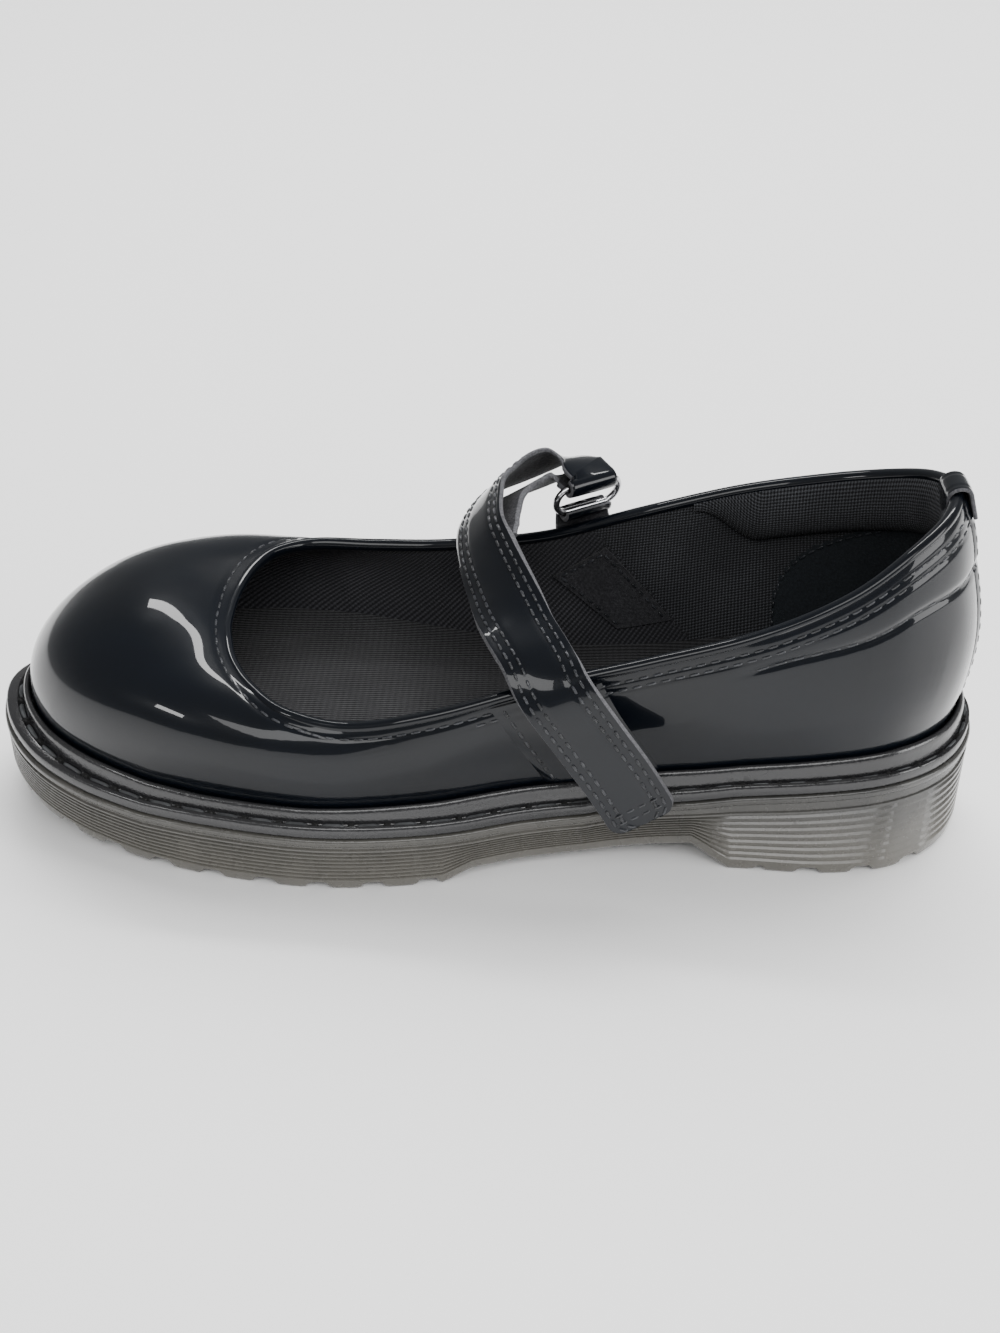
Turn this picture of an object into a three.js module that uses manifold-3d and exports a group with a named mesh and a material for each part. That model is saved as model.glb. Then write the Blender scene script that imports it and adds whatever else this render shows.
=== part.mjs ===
// A left mary jane shoe: moulded outsole with a low heel, stitched welt, one hollow patent upper,
// footbed, padded collar roll and an unfastened instep strap held by a wire ring.
// Millimetres, +Z up. The toe points to -X and the lateral (outer) side to -Y.
import * as THREE from 'three';
import { mergeVertices } from 'three/addons/utils/BufferGeometryUtils.js';
import Module from 'manifold-3d';

const wasm = await Module();
wasm.setup();

// Driving sizes.
const GAP = 0.35; // clearance between neighbouring pieces
const UPPER_WALL = 2.4; // patent, interlining and lining together
const LASTED_EDGE = 0.9; // how far the upper's bent foot of the meridian stays below the bead
const FOOTBED_MARGIN = 0.7; // space between the footbed's edge and the upper's inside
const FOOTBED_CUP = 3.6; // how far the footbed's edge stands above its middle
const FOOTBED_THICKNESS = 6; // most that the footbed is thick at its middle
const STRAP_WIDTH = 17;
const STRAP_THICKNESS = 2.4;
const FOLDED_THICKNESS = 1.3; // one ply of the strap where it turns round the ring
const WIRE = 1.8; // diameter of the ring's wire
const RING_BAR = 14.6; // clear length of the ring's straight bars
const RING_OPENING = 6; // clear height between the bars
const TAB_THICKNESS = 1.5;
const NOTCH = { length: 3, height: 2, depth: 9 }; // side notches between the edge lugs

// One row for each station round the shoe, from the toe tip along the lateral side to the heel and
// back along the medial side. x, y: outline of the sole. topX, topY, topZ: throat and collar edge.
// heading, climb: plan angle and rise angle (degrees) with which the upper's wall reaches that edge.
// flare: outward tilt of the wall where it leaves the welt. foot, head: the wall curve's handle
// lengths at the welt and at the edge, as parts of its chord.
const STATIONS = [
  { x: -124, y: 5, topX: -61, topY: -2, topZ: 51, heading: -12, climb: -36, flare: 0, foot: 0.38, head: 0.48 },
  { x: -119.5, y: -11, topX: -60, topY: -9, topZ: 50.1, heading: 6, climb: -30, flare: 2, foot: 0.4, head: 0.47 },
  { x: -108, y: -24.5, topX: -57.5, topY: -17, topZ: 48.5, heading: 22, climb: -20, flare: 5, foot: 0.42, head: 0.46 },
  { x: -90, y: -34, topX: -52, topY: -25.5, topZ: 46.9, heading: 42, climb: -5, flare: 10, foot: 0.43, head: 0.45 },
  { x: -65, y: -41, topX: -43, topY: -33, topZ: 45, heading: 65, climb: 22, flare: 13, foot: 0.43, head: 0.44 },
  { x: -37, y: -45, topX: -28, topY: -37, topZ: 43.9, heading: 85, climb: 50, flare: 14, foot: 0.4, head: 0.42 },
  { x: -10, y: -42.5, topX: -8, topY: -37, topZ: 47.4, heading: 90, climb: 66, flare: 13, foot: 0.38, head: 0.4 },
  { x: 15, y: -35.5, topX: 17, topY: -32.2, topZ: 52.8, heading: 90, climb: 74, flare: 12, foot: 0.36, head: 0.38 },
  { x: 40, y: -32, topX: 41, topY: -29.2, topZ: 57.8, heading: 90, climb: 78, flare: 12, foot: 0.36, head: 0.38 },
  { x: 65, y: -33, topX: 66, topY: -28.5, topZ: 65.3, heading: 90, climb: 78, flare: 12, foot: 0.38, head: 0.38 },
  { x: 88, y: -34, topX: 86, topY: -27, topZ: 74.8, heading: 98, climb: 77, flare: 11, foot: 0.4, head: 0.4 },
  { x: 106, y: -30, topX: 100, topY: -21.5, topZ: 83.6, heading: 118, climb: 75, flare: 11, foot: 0.4, head: 0.42 },
  { x: 120, y: -18, topX: 110, topY: -12, topZ: 88.5, heading: 150, climb: 73, flare: 11, foot: 0.42, head: 0.44 },
  { x: 126, y: 0, topX: 114, topY: 0, topZ: 90.5, heading: 180, climb: 73, flare: 12, foot: 0.42, head: 0.44 },
  { x: 120, y: 18, topX: 110.5, topY: 11, topZ: 89, heading: 210, climb: 73, flare: 11, foot: 0.42, head: 0.44 },
  { x: 106, y: 30, topX: 101, topY: 20, topZ: 85, heading: 242, climb: 75, flare: 11, foot: 0.4, head: 0.42 },
  { x: 88, y: 34, topX: 85, topY: 26, topZ: 80.3, heading: 262, climb: 77, flare: 11, foot: 0.4, head: 0.4 },
  { x: 65, y: 31.5, topX: 65, topY: 28.5, topZ: 75.5, heading: 270, climb: 78, flare: 11, foot: 0.38, head: 0.38 },
  { x: 40, y: 28.5, topX: 41, topY: 28.8, topZ: 68.7, heading: 270, climb: 78, flare: 11, foot: 0.36, head: 0.38 },
  { x: 15, y: 29.5, topX: 17, topY: 30.5, topZ: 60.5, heading: 271, climb: 76, flare: 11, foot: 0.36, head: 0.38 },
  { x: -10, y: 36, topX: -8, topY: 33.5, topZ: 55.8, heading: 272, climb: 66, flare: 12, foot: 0.38, head: 0.4 },
  { x: -37, y: 43, topX: -28, topY: 34.2, topZ: 54.8, heading: 276, climb: 45, flare: 13, foot: 0.46, head: 0.42 },
  { x: -65, y: 44, topX: -44, topY: 32, topZ: 55.6, heading: 292, climb: 15, flare: 14, foot: 0.5, head: 0.45 },
  { x: -90, y: 38.5, topX: -53, topY: 26, topZ: 56, heading: 312, climb: -8, flare: 12, foot: 0.5, head: 0.46 },
  { x: -108, y: 29, topX: -58, topY: 18, topZ: 55, heading: 328, climb: -22, flare: 7, foot: 0.47, head: 0.48 },
  { x: -119.5, y: 18.5, topX: -60.5, topY: 8, topZ: 53, heading: 340, climb: -32, flare: 2, foot: 0.41, head: 0.49 },
];
const ROUND = STATIONS.length;

// One row for each place along the shoe. tread: underside of the sole. ridge: top of the sole's wall.
// bead: top of the welt. inset: outline to the upper's foot. footbed: middle of the footbed's top.
const LEVELS = [
  { x: -125, tread: 9.8, ridge: 23.6, bead: 30.4, inset: 7.8, footbed: 30 },
  { x: -110, tread: 6, ridge: 20, bead: 27.6, inset: 6.8, footbed: 28.6 },
  { x: -95, tread: 3, ridge: 17.3, bead: 25, inset: 6.2, footbed: 27.6 },
  { x: -80, tread: 0.9, ridge: 15.6, bead: 22.7, inset: 5.8, footbed: 27.2 },
  { x: -66, tread: 0, ridge: 15.3, bead: 21.6, inset: 5.8, footbed: 27 },
  { x: -40, tread: 0, ridge: 15.2, bead: 21.3, inset: 5.8, footbed: 27 },
  { x: -6, tread: 0, ridge: 14.9, bead: 22.2, inset: 5.6, footbed: 27 },
  { x: 1, tread: 3.2, ridge: 14.8, bead: 22.5, inset: 5.5, footbed: 27 },
  { x: 28, tread: 4.3, ridge: 15.5, bead: 23.4, inset: 5.3, footbed: 27.2 },
  { x: 54.5, tread: 7, ridge: 19.8, bead: 27.3, inset: 5, footbed: 28.6 },
  { x: 64, tread: 0, ridge: 21.8, bead: 29.1, inset: 4.9, footbed: 29.3 },
  { x: 85, tread: 0, ridge: 24.7, bead: 32.5, inset: 4.8, footbed: 30.6 },
  { x: 104, tread: 0, ridge: 26.3, bead: 34.5, inset: 4.8, footbed: 31.4 },
  { x: 127, tread: 0.5, ridge: 26.6, bead: 35, inset: 4.8, footbed: 31.8 },
];

// The strap's run from its free end on the lateral side, over the opening, to the ring.
// x, y, z: middle of the strap. ax, ay, az: direction across it. width: part of STRAP_WIDTH.
const STRAP_RUN = [
  { x: 42.2, y: -43.4, z: 22.9, ax: -0.81, ay: -0.05, az: -0.58, width: 0.8 },
  { x: 41.6, y: -43.3, z: 23.9, ax: -0.81, ay: -0.05, az: -0.58, width: 1 },
  { x: 35.4, y: -42.4, z: 34, ax: -0.84, ay: -0.05, az: -0.54, width: 1 },
  { x: 28.2, y: -41, z: 44, ax: -0.85, ay: -0.04, az: -0.52, width: 1 },
  { x: 20.2, y: -38.8, z: 55, ax: -0.87, ay: -0.1, az: -0.45, width: 1 },
  { x: 15.6, y: -32, z: 60.3, ax: -0.9, ay: -0.38, az: -0.18, width: 1 },
  { x: 11.3, y: -24.2, z: 63.3, ax: -0.92, ay: -0.35, az: -0.2, width: 1 },
  { x: 8.3, y: -16.4, z: 65.4, ax: -0.88, ay: -0.16, az: -0.45, width: 1 },
  { x: 5.8, y: -8.7, z: 67.1, ax: -0.8, ay: -0.01, az: -0.6, width: 1 },
  { x: 3.3, y: -1.1, z: 69.1, ax: -0.74, ay: 0.1, az: -0.66, width: 1 },
  { x: 1.3, y: 6.5, z: 71.3, ax: -0.66, ay: 0.21, az: -0.72, width: 1 },
  { x: 0.9, y: 14.2, z: 73.1, ax: -0.64, ay: 0.28, az: -0.71, width: 1 },
  { x: 2.1, y: 21.6, z: 74.4, ax: -0.53, ay: 0.39, az: -0.75, width: 1 },
  { x: 5.5, y: 28.2, z: 75.3, ax: -0.42, ay: 0.54, az: -0.73, width: 1 },
  { x: 10.9, y: 32.9, z: 76.6, ax: -0.16, ay: 0.64, az: -0.75, width: 1 },
  { x: 17.2, y: 35.4, z: 78, ax: 0.2, ay: 0.74, az: -0.64, width: 0.96 },
  { x: 22.6, y: 34.9, z: 78.3, ax: 0.55, ay: 0.76, az: -0.33, width: 0.89 },
  { x: 26.8, y: 32.4, z: 77.3, ax: 0.8, ay: 0.6, az: -0.05, width: 0.83 },
];

const radians = THREE.MathUtils.degToRad;

// Cubic Hermite value at t between b and c, with slopes taken from their neighbours a and d.
function smooth(a, b, c, d, t) {
  const m0 = (c - a) / 2;
  const m1 = (d - b) / 2;
  const t2 = t * t;
  const t3 = t2 * t;
  return (2 * t3 - 3 * t2 + 1) * b + (t3 - 2 * t2 + t) * m0 + (3 * t2 - 2 * t3) * c + (t3 - t2) * m1;
}

// The value of one STATIONS column, or of a function of a row, at place u round the shoe.
function around(column, u) {
  const read = typeof column === 'string' ? (row) => row[column] : column;
  const i = Math.floor(u);
  const at = (k) => read(STATIONS[(((i + k) % ROUND) + ROUND) % ROUND]);
  return smooth(at(-1), at(0), at(1), at(2), u - i);
}

// The value of one LEVELS column at length x, straight between rows.
function level(column, x) {
  const last = LEVELS.length - 2;
  let i = LEVELS.findIndex((row) => row.x > x) - 1;
  i = i < -1 ? last : Math.max(i, 0);
  const t = (x - LEVELS[i].x) / (LEVELS[i + 1].x - LEVELS[i].x);
  return THREE.MathUtils.lerp(LEVELS[i][column], LEVELS[i + 1][column], t);
}

// The sole's outline at u, moved inwards by inset, at height z.
function outline(u, inset, z) {
  const step = 0.01;
  const dx = around('x', u + step) - around('x', u - step);
  const dy = around('y', u + step) - around('y', u - step);
  const length = Math.hypot(dx, dy);
  return new THREE.Vector3(around('x', u) - (dy / length) * inset, around('y', u) + (dx / length) * inset, z);
}

// The same point at the height that the function gives for its own length x.
function outlineAt(u, inset, height) {
  const point = outline(u, inset, 0);
  return point.setZ(height(point.x));
}

const outward = (u) => outline(u, -1, 0).sub(outline(u, 0, 0));

// The direction in which the upper's wall reaches the throat or collar edge.
function arrival(u) {
  const part = (f) => around((row) => f(radians(row.heading), radians(row.climb)), u);
  return new THREE.Vector3(
    part((h, c) => Math.cos(h) * Math.cos(c)),
    part((h, c) => Math.sin(h) * Math.cos(c)),
    part((h, c) => Math.sin(c)),
  ).normalize();
}

// The upper's outside at u round the shoe and v up the wall, from the bead (0) to the edge (1).
function wallPoint(u, v) {
  const x = around('x', u);
  const start = outline(u, level('inset', x), level('bead', x) - LASTED_EDGE);
  const end = new THREE.Vector3(around('topX', u), around('topY', u), around('topZ', u));
  const chord = start.distanceTo(end);
  const tilt = radians(around('flare', u));
  const rise = outward(u).multiplyScalar(Math.sin(tilt)).setZ(Math.cos(tilt));
  const foot = start.clone().addScaledVector(rise, around('foot', u) * chord);
  const head = end.clone().addScaledVector(arrival(u), -around('head', u) * chord);
  return new THREE.CubicBezierCurve3(start, foot, head, end).getPoint(v);
}

// How far up the wall (v) at u its outside first reaches height z.
function wallPlace(u, z) {
  let low = 0;
  let high = 0.6;
  while (high - low > 1e-3) {
    const middle = (low + high) / 2;
    if (wallPoint(u, middle).z < z) {
      low = middle;
    } else {
      high = middle;
    }
  }
  return low;
}

// The same point moved out of the wall by depth (negative is into the shoe).
function skin(u, v, depth) {
  const step = 0.02;
  const low = Math.max(v - step, 0);
  const high = Math.min(v + step, 1);
  const along = wallPoint(u + step, v).sub(wallPoint(u - step, v));
  const up = wallPoint(u, high).sub(wallPoint(u, low));
  return wallPoint(u, v).addScaledVector(along.cross(up).normalize(), depth);
}

// A closed body through a list of closed sections with equal point counts. A looped body joins its
// last section to its first, and any other is closed by a cap at each end.
function loft(sections, looped) {
  const size = sections[0].length;
  const positions = sections.flat().flatMap((p) => [p.x, p.y, p.z]);
  const faces = [];
  const rows = looped ? sections.length : sections.length - 1;
  for (let i = 0; i < rows; i += 1) {
    const a = i * size;
    const b = ((i + 1) % sections.length) * size;
    for (let j = 0; j < size; j += 1) {
      const k = (j + 1) % size;
      faces.push([a + j, b + j, b + k], [a + j, b + k, a + k]);
    }
  }
  if (!looped) {
    const end = (sections.length - 1) * size;
    for (let j = 1; j < size - 1; j += 1) {
      faces.push([0, j, j + 1], [end, end + j + 1, end + j]);
    }
  }
  const geometry = new THREE.BufferGeometry();
  geometry.setAttribute('position', new THREE.Float32BufferAttribute(positions, 3));
  geometry.setIndex(faces.flat());
  return solidGeometry(geometry);
}

// A manifold-3d solid from a closed geometry, its shared points merged and empty faces dropped.
function toSolid(geometry) {
  const bare = new THREE.BufferGeometry();
  bare.setAttribute('position', geometry.getAttribute('position'));
  bare.setIndex(geometry.index);
  const merged = mergeVertices(bare, 2e-3);
  const index = merged.index.array;
  const triVerts = [];
  for (let i = 0; i < index.length; i += 3) {
    const [a, b, c] = index.slice(i, i + 3);
    if (a !== b && b !== c && c !== a) {
      triVerts.push(a, b, c);
    }
  }
  const vertProperties = merged.attributes.position.array;
  const mesh = new wasm.Mesh({ numProp: 3, vertProperties, triVerts: new Uint32Array(triVerts) });
  const solid = new wasm.Manifold(mesh);
  if (solid.volume() > 0) {
    return solid;
  }
  mesh.triVerts = new Uint32Array(triVerts.reverse());
  return new wasm.Manifold(mesh);
}

function fromSolid(solid) {
  const { vertProperties, triVerts } = solid.getMesh();
  const geometry = new THREE.BufferGeometry();
  geometry.setAttribute('position', new THREE.BufferAttribute(new Float32Array(vertProperties), 3));
  geometry.setIndex(new THREE.BufferAttribute(new Uint32Array(triVerts), 1));
  geometry.computeVertexNormals();
  return geometry;
}

const solidGeometry = (geometry) => fromSolid(toSolid(geometry));

// Evenly spaced values from a to b in n steps.
const spread = (a, b, n) => Array.from({ length: n + 1 }, (_, i) => a + ((b - a) * i) / n);

const STEPS_PER_STATION = 3;
const LOOP = spread(0, ROUND, ROUND * STEPS_PER_STATION).slice(0, -1);

// Crosswise sections from toe to heel. edge(u) lists the points down one side from the top inward
// edge to the underside, and crown(x, part) and base(x) give the heights in between.
function crosswise(stepsPerStation, edge, crown, base, across) {
  return spread(0, ROUND / 2, (ROUND / 2) * stepsPerStation).map((u) => {
    const lateral = edge(u);
    const medial = edge(ROUND - u);
    const between = (from, to, height) =>
      spread(0, 1, across)
        .slice(1, -1)
        .map((t) => {
          const p = from.clone().lerp(to, t);
          return p.setZ(height(p.x, 2 * t - 1, p.z));
        });
    return [
      ...lateral,
      ...between(lateral.at(-1), medial.at(-1), base),
      ...medial.reverse(),
      ...between(medial.at(-1), lateral[0], crown),
    ];
  });
}

// Height of the sole's inner platform, on which the footbed lies.
const platform = (x) => Math.max(level('ridge', x), level('footbed', x) - FOOTBED_THICKNESS);

// The outsole: rounded underside edge, slightly hollow wall and a lipped ridge at the top.
function outsoleGeometry() {
  const edge = (u) => {
    const x = around('x', u);
    const top = level('ridge', x);
    const bottom = level('tread', x);
    const height = top - bottom;
    const inner = level('inset', x) + UPPER_WALL + FOOTBED_MARGIN;
    return [
      outlineAt(u, inner, platform),
      outline(u, inner, top),
      outline(u, 0.5, top),
      outline(u, 0, top - 0.6),
      outline(u, 0.1, top - 1.8),
      outline(u, 0.7, top - 2.6),
      outline(u, 0.5, bottom + height * 0.35),
      outline(u, 0.5, bottom + 0.6),
      outline(u, 1, bottom),
    ];
  };
  const underside = (x) => level('tread', x);
  let solid = toSolid(loft(crosswise(4, edge, platform, underside, 4), false));
  const box = new THREE.BoxGeometry(NOTCH.length, NOTCH.depth, NOTCH.height * 2);
  for (const place of notchPlaces()) {
    const cutter = box.clone();
    cutter.rotateZ(place.turn);
    cutter.translate(place.point.x, place.point.y, place.point.z);
    solid = solid.subtract(toSolid(cutter));
  }
  return fromSolid(solid);
}

// Middles of the notches between the lugs, on both edges of the forefoot and of the heel.
function notchPlaces() {
  const rows = [
    { from: -104, to: -10, count: 8 },
    { from: 77, to: 108, count: 3 },
  ];
  const places = [];
  for (const { from, to, count } of rows) {
    for (const x of spread(from, to, count - 1)) {
      for (const side of [1, -1]) {
        const u = stationAt(x, side);
        const out = outward(u);
        places.push({
          point: outline(u, NOTCH.depth / 2 - 2, level('tread', x)),
          turn: Math.atan2(out.y, out.x) - Math.PI / 2,
        });
      }
    }
  }
  return places;
}

// The place u on the lateral (side 1) or medial (side -1) edge where the outline is at length x.
function stationAt(x, side) {
  let low = 0;
  let high = ROUND / 2;
  while (high - low > 1e-4) {
    const middle = (low + high) / 2;
    if (around('x', middle) < x) {
      low = middle;
    } else {
      high = middle;
    }
  }
  return side > 0 ? low : ROUND - low;
}

// The welt: a flat stitched band, a shallow stitch channel and a raised bead against the upper.
function weltGeometry() {
  return loft(
    LOOP.map((u) => {
      const x = around('x', u);
      const ridge = level('ridge', x);
      const bead = level('bead', x);
      const inner = level('inset', x) - GAP;
      return [
        outline(u, 0.8, ridge + GAP),
        outline(u, inner, ridge + GAP),
        outline(u, inner, bead - 0.7),
        outline(u, inner - 0.6, bead),
        outline(u, inner - 1.5, bead - 0.4),
        outline(u, inner - 2, bead - 1.7),
        outline(u, inner - 2.1, ridge + 2.7),
        outline(u, inner - 3.1, ridge + 2.5),
        outline(u, inner - 3.4, ridge + 3.3),
        outline(u, 1.1, ridge + 2.9),
      ];
    }),
    true,
  );
}

// The upper: one wall of even thickness, open at the throat and collar and underneath.
function upperGeometry() {
  const climb = spread(0, 1, 9);
  return loft(
    LOOP.map((u) => {
      const x = around('x', u);
      const inset = level('inset', x);
      const floor = level('ridge', x) + GAP;
      const outer = climb.map((v) => skin(u, v, 0));
      const inner = climb.map((v) => skin(u, v, -UPPER_WALL));
      return [outline(u, inset, floor), ...outer, ...inner.reverse(), outline(u, inset + UPPER_WALL, floor)];
    }),
    true,
  );
}

// The footbed: flat in the middle and cupped up at its edges.
function insoleGeometry() {
  const floor = (x) => platform(x) + GAP;
  const edge = (u) => {
    const x = around('x', u);
    const margin = level('inset', x) + UPPER_WALL + FOOTBED_MARGIN + GAP;
    const rim = level('footbed', x) + FOOTBED_CUP;
    const lip = skin(u, wallPlace(u, rim), -UPPER_WALL - FOOTBED_MARGIN - GAP);
    return [
      lip.setZ(level('footbed', lip.x) + FOOTBED_CUP),
      outlineAt(u, margin, (at) => floor(at) + 1),
      outlineAt(u, margin, floor),
    ];
  };
  const top = (x, t) => level('footbed', x) + FOOTBED_CUP * t ** 4;
  return loft(crosswise(3, edge, top, floor, 8), false);
}

// The padded roll inside the collar, from one side seam round the heel to the other.
function collarPadGeometry() {
  const reach = { from: 8.6, to: 17.4, depth: 15, swell: 3.6 };
  return loft(
    spread(reach.from, reach.to, 28).map((u, i, all) => {
      const height = wallPoint(u, 0).distanceTo(wallPoint(u, 1));
      const fromEnd = Math.min(i, all.length - 1 - i);
      const grown = Math.min(1, 0.4 + 0.2 * fromEnd);
      const low = 1 - (reach.depth * grown) / height;
      const full = reach.swell * grown;
      const rows = spread(low, 0.985, 5);
      const back = rows.map((v) => skin(u, v, -UPPER_WALL - GAP));
      const front = rows.map((v, j) => skin(u, v, -UPPER_WALL - GAP - 0.8 - full * Math.sin((Math.PI * (j + 0.4)) / 6)));
      return [...back, ...front.reverse()];
    }),
    false,
  );
}

// A flat-sectioned band through rows of { middle, across, width, thickness }. A row may state its
// direction of run, which is otherwise taken from the rows beside it.
function band(rows) {
  return loft(
    rows.map((row, i) => {
      const before = rows[Math.max(i - 1, 0)].middle;
      const after = rows[Math.min(i + 1, rows.length - 1)].middle;
      const run = row.run ?? after.clone().sub(before).normalize();
      const across = row.across.clone().addScaledVector(run, -run.dot(row.across)).normalize();
      const face = new THREE.Vector3().crossVectors(run, across);
      const w = row.width / 2;
      const t = row.thickness / 2;
      const corner = (a, b) => row.middle.clone().addScaledVector(across, a).addScaledVector(face, b);
      const inner = spread(-0.94, 0.94, 4).map((part) => corner(w * part, -t));
      const outer = spread(0.94, -0.94, 4).map((part) => corner(w * part, t));
      return [corner(-w, -t * 0.6), ...inner, corner(w, -t * 0.6), corner(w, t * 0.6), ...outer, corner(-w, t * 0.6)];
    }),
    false,
  );
}

// The ring's own frame: its middle, and the heading of its bars and lean of its plane in degrees.
const RING = { middle: new THREE.Vector3(27.4, 31.6, 70.8), heading: 34, lean: 14 };
RING.bar = new THREE.Vector3(Math.cos(radians(RING.heading)), Math.sin(radians(RING.heading)), 0);
RING.up = new THREE.Vector3(0, 0, 1).applyAxisAngle(RING.bar, radians(RING.lean));
const BAR_OFFSET = (RING_OPENING + WIRE) / 2;

// Rows of a band's end turned half round a bar of the ring, then back beside itself in direction
// lead for each of the tails' lengths.
function fold(bar, lead, faceSide, { width, thickness, tails }) {
  const radius = WIRE / 2 + GAP + thickness / 2 + 0.25;
  const rows = spread(0, Math.PI, 8).map((a) => ({
    middle: bar
      .clone()
      .addScaledVector(faceSide, radius * Math.cos(a))
      .addScaledVector(lead, -radius * Math.sin(a)),
    run: faceSide.clone().multiplyScalar(-Math.sin(a)).addScaledVector(lead, -Math.cos(a)),
    across: RING.bar,
    width,
    thickness,
  }));
  const back = rows.at(-1).middle;
  for (const length of tails) {
    rows.push({
      middle: back.clone().addScaledVector(lead, length).addScaledVector(faceSide, 0.06 * length),
      across: RING.bar,
      width,
      thickness,
    });
  }
  return rows;
}

// The strap: its run sampled from STRAP_RUN, then its end folded round the ring's upper bar.
function strapGeometry() {
  const last = STRAP_RUN.length - 1;
  const curve = (a, b, c) => {
    const points = STRAP_RUN.map((row) => new THREE.Vector3(row[a], row[b], row[c]));
    return new THREE.CatmullRomCurve3(points, false, 'centripetal');
  };
  const run = curve('x', 'y', 'z');
  const across = curve('ax', 'ay', 'az');
  const rows = spread(0, 1, last * 2).map((t) => {
    const k = Math.min(Math.floor(t * last), last - 1);
    return {
      middle: run.getPoint(t),
      across: across.getPoint(t).normalize(),
      width: THREE.MathUtils.lerp(STRAP_RUN[k].width, STRAP_RUN[k + 1].width, t * last - k) * STRAP_WIDTH,
      thickness: THREE.MathUtils.lerp(STRAP_THICKNESS, FOLDED_THICKNESS, THREE.MathUtils.smoothstep(t, 0.8, 1)),
    };
  });
  const upperBar = RING.middle.clone().addScaledVector(RING.up, BAR_OFFSET);
  const side = new THREE.Vector3().crossVectors(run.getTangent(1), RING.bar).normalize();
  const lead = new THREE.Vector3().crossVectors(side, RING.bar);
  const size = { width: RING_BAR - 0.8, thickness: FOLDED_THICKNESS, tails: [3, 6] };
  return band([...rows, ...fold(upperBar, lead, side, size)]);
}

// The wire ring: a loop with two straight bars and round ends.
function ringGeometry() {
  const torus = new THREE.TorusGeometry(BAR_OFFSET, WIRE / 2, 8, 24);
  const position = torus.getAttribute('position');
  const half = RING_BAR / 2 - 1.6;
  const side = new THREE.Vector3().crossVectors(RING.bar, RING.up);
  const basis = new THREE.Matrix4().makeBasis(RING.bar, RING.up, side).setPosition(RING.middle);
  for (let i = 0; i < position.count; i += 1) {
    position.setX(i, position.getX(i) + Math.sign(Math.round(position.getX(i) * 1e3)) * half);
  }
  return solidGeometry(torus.applyMatrix4(basis));
}

// The tab that holds the ring: it lies on the medial wall from the bead to the collar edge, stands up
// past the edge and folds round the ring's lower bar.
function ringTabGeometry() {
  const foot = { at: 17.75, width: 17 };
  const head = { at: 18.52, width: 15 };
  const rows = spread(0, 1, 6).map((t) => {
    const v = THREE.MathUtils.lerp(0.13, 0.8, t);
    const u = THREE.MathUtils.lerp(foot.at, head.at, t);
    const middle = skin(u, v, GAP + 0.35 + TAB_THICKNESS / 2);
    return {
      middle,
      across: skin(u - 0.2, v, 0).sub(skin(u + 0.2, v, 0)).normalize(),
      width: THREE.MathUtils.lerp(foot.width, head.width, t),
      thickness: TAB_THICKNESS,
    };
  });
  const lowerBar = RING.middle.clone().addScaledVector(RING.up, -BAR_OFFSET);
  const lead = rows.at(-1).middle.clone().sub(lowerBar);
  const side = new THREE.Vector3().crossVectors(RING.bar, lead).normalize();
  lead.crossVectors(side, RING.bar).normalize();
  rows.push(...fold(lowerBar, lead, side, { width: RING_BAR - 0.8, thickness: 1.2, tails: [0.8] }));
  return band(rows);
}

const rubber = { color: 0x2b2826, roughness: 0.55, metalness: 0 };
const patent = { color: 0x08090d, roughness: 0.12, metalness: 0 };
const PIECES = {
  outsole: [outsoleGeometry, rubber],
  welt: [weltGeometry, { color: 0x1e1e20, roughness: 0.5, metalness: 0 }],
  upper: [upperGeometry, patent],
  insole: [insoleGeometry, { color: 0x15161a, roughness: 0.95, metalness: 0 }],
  collar_pad: [collarPadGeometry, { color: 0x101116, roughness: 0.9, metalness: 0 }],
  strap: [strapGeometry, patent],
  strap_ring: [ringGeometry, { color: 0xb9babd, roughness: 0.22, metalness: 1 }],
  ring_tab: [ringTabGeometry, patent],
};

const shoe = new THREE.Group();
for (const [name, [shape, finish]] of Object.entries(PIECES)) {
  const mesh = new THREE.Mesh(shape(), new THREE.MeshStandardMaterial(finish));
  mesh.name = name;
  shoe.add(mesh);
}

// The origin is under the middle of the whole shoe, on the surface that it stands on.
const bounds = new THREE.Box3().setFromObject(shoe);
const middle = bounds.getCenter(new THREE.Vector3());
shoe.position.set(-middle.x, -middle.y, -bounds.min.z);

export default shoe;
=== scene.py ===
"""A left mary jane shoe in black patent: stitched welt, chunky rubber sole, padded heel collar and an
unfastened instep strap that hangs from a wire ring. Sizes are in millimetres until a mesh is made."""
import logging
import math
from dataclasses import dataclass
from enum import Enum
from typing import Any, Sequence

import bmesh
import bpy
import numpy as np
from mathutils import Matrix, Vector


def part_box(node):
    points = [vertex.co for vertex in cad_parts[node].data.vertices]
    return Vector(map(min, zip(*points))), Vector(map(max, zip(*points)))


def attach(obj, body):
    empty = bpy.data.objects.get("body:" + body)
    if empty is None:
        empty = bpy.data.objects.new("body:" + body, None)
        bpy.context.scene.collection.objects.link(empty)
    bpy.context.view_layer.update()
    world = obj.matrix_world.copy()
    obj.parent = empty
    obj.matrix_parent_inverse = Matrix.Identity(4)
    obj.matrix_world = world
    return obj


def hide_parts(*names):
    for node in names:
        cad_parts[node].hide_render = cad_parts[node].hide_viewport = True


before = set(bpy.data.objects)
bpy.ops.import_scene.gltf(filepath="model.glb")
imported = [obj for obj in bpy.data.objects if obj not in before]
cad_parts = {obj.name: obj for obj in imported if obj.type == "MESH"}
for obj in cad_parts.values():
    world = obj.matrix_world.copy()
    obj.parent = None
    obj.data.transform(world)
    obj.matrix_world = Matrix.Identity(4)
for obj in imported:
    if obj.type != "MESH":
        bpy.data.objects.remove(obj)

log = logging.getLogger("shoe")
Array = np.ndarray
Colour = tuple[float, float, float]
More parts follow.
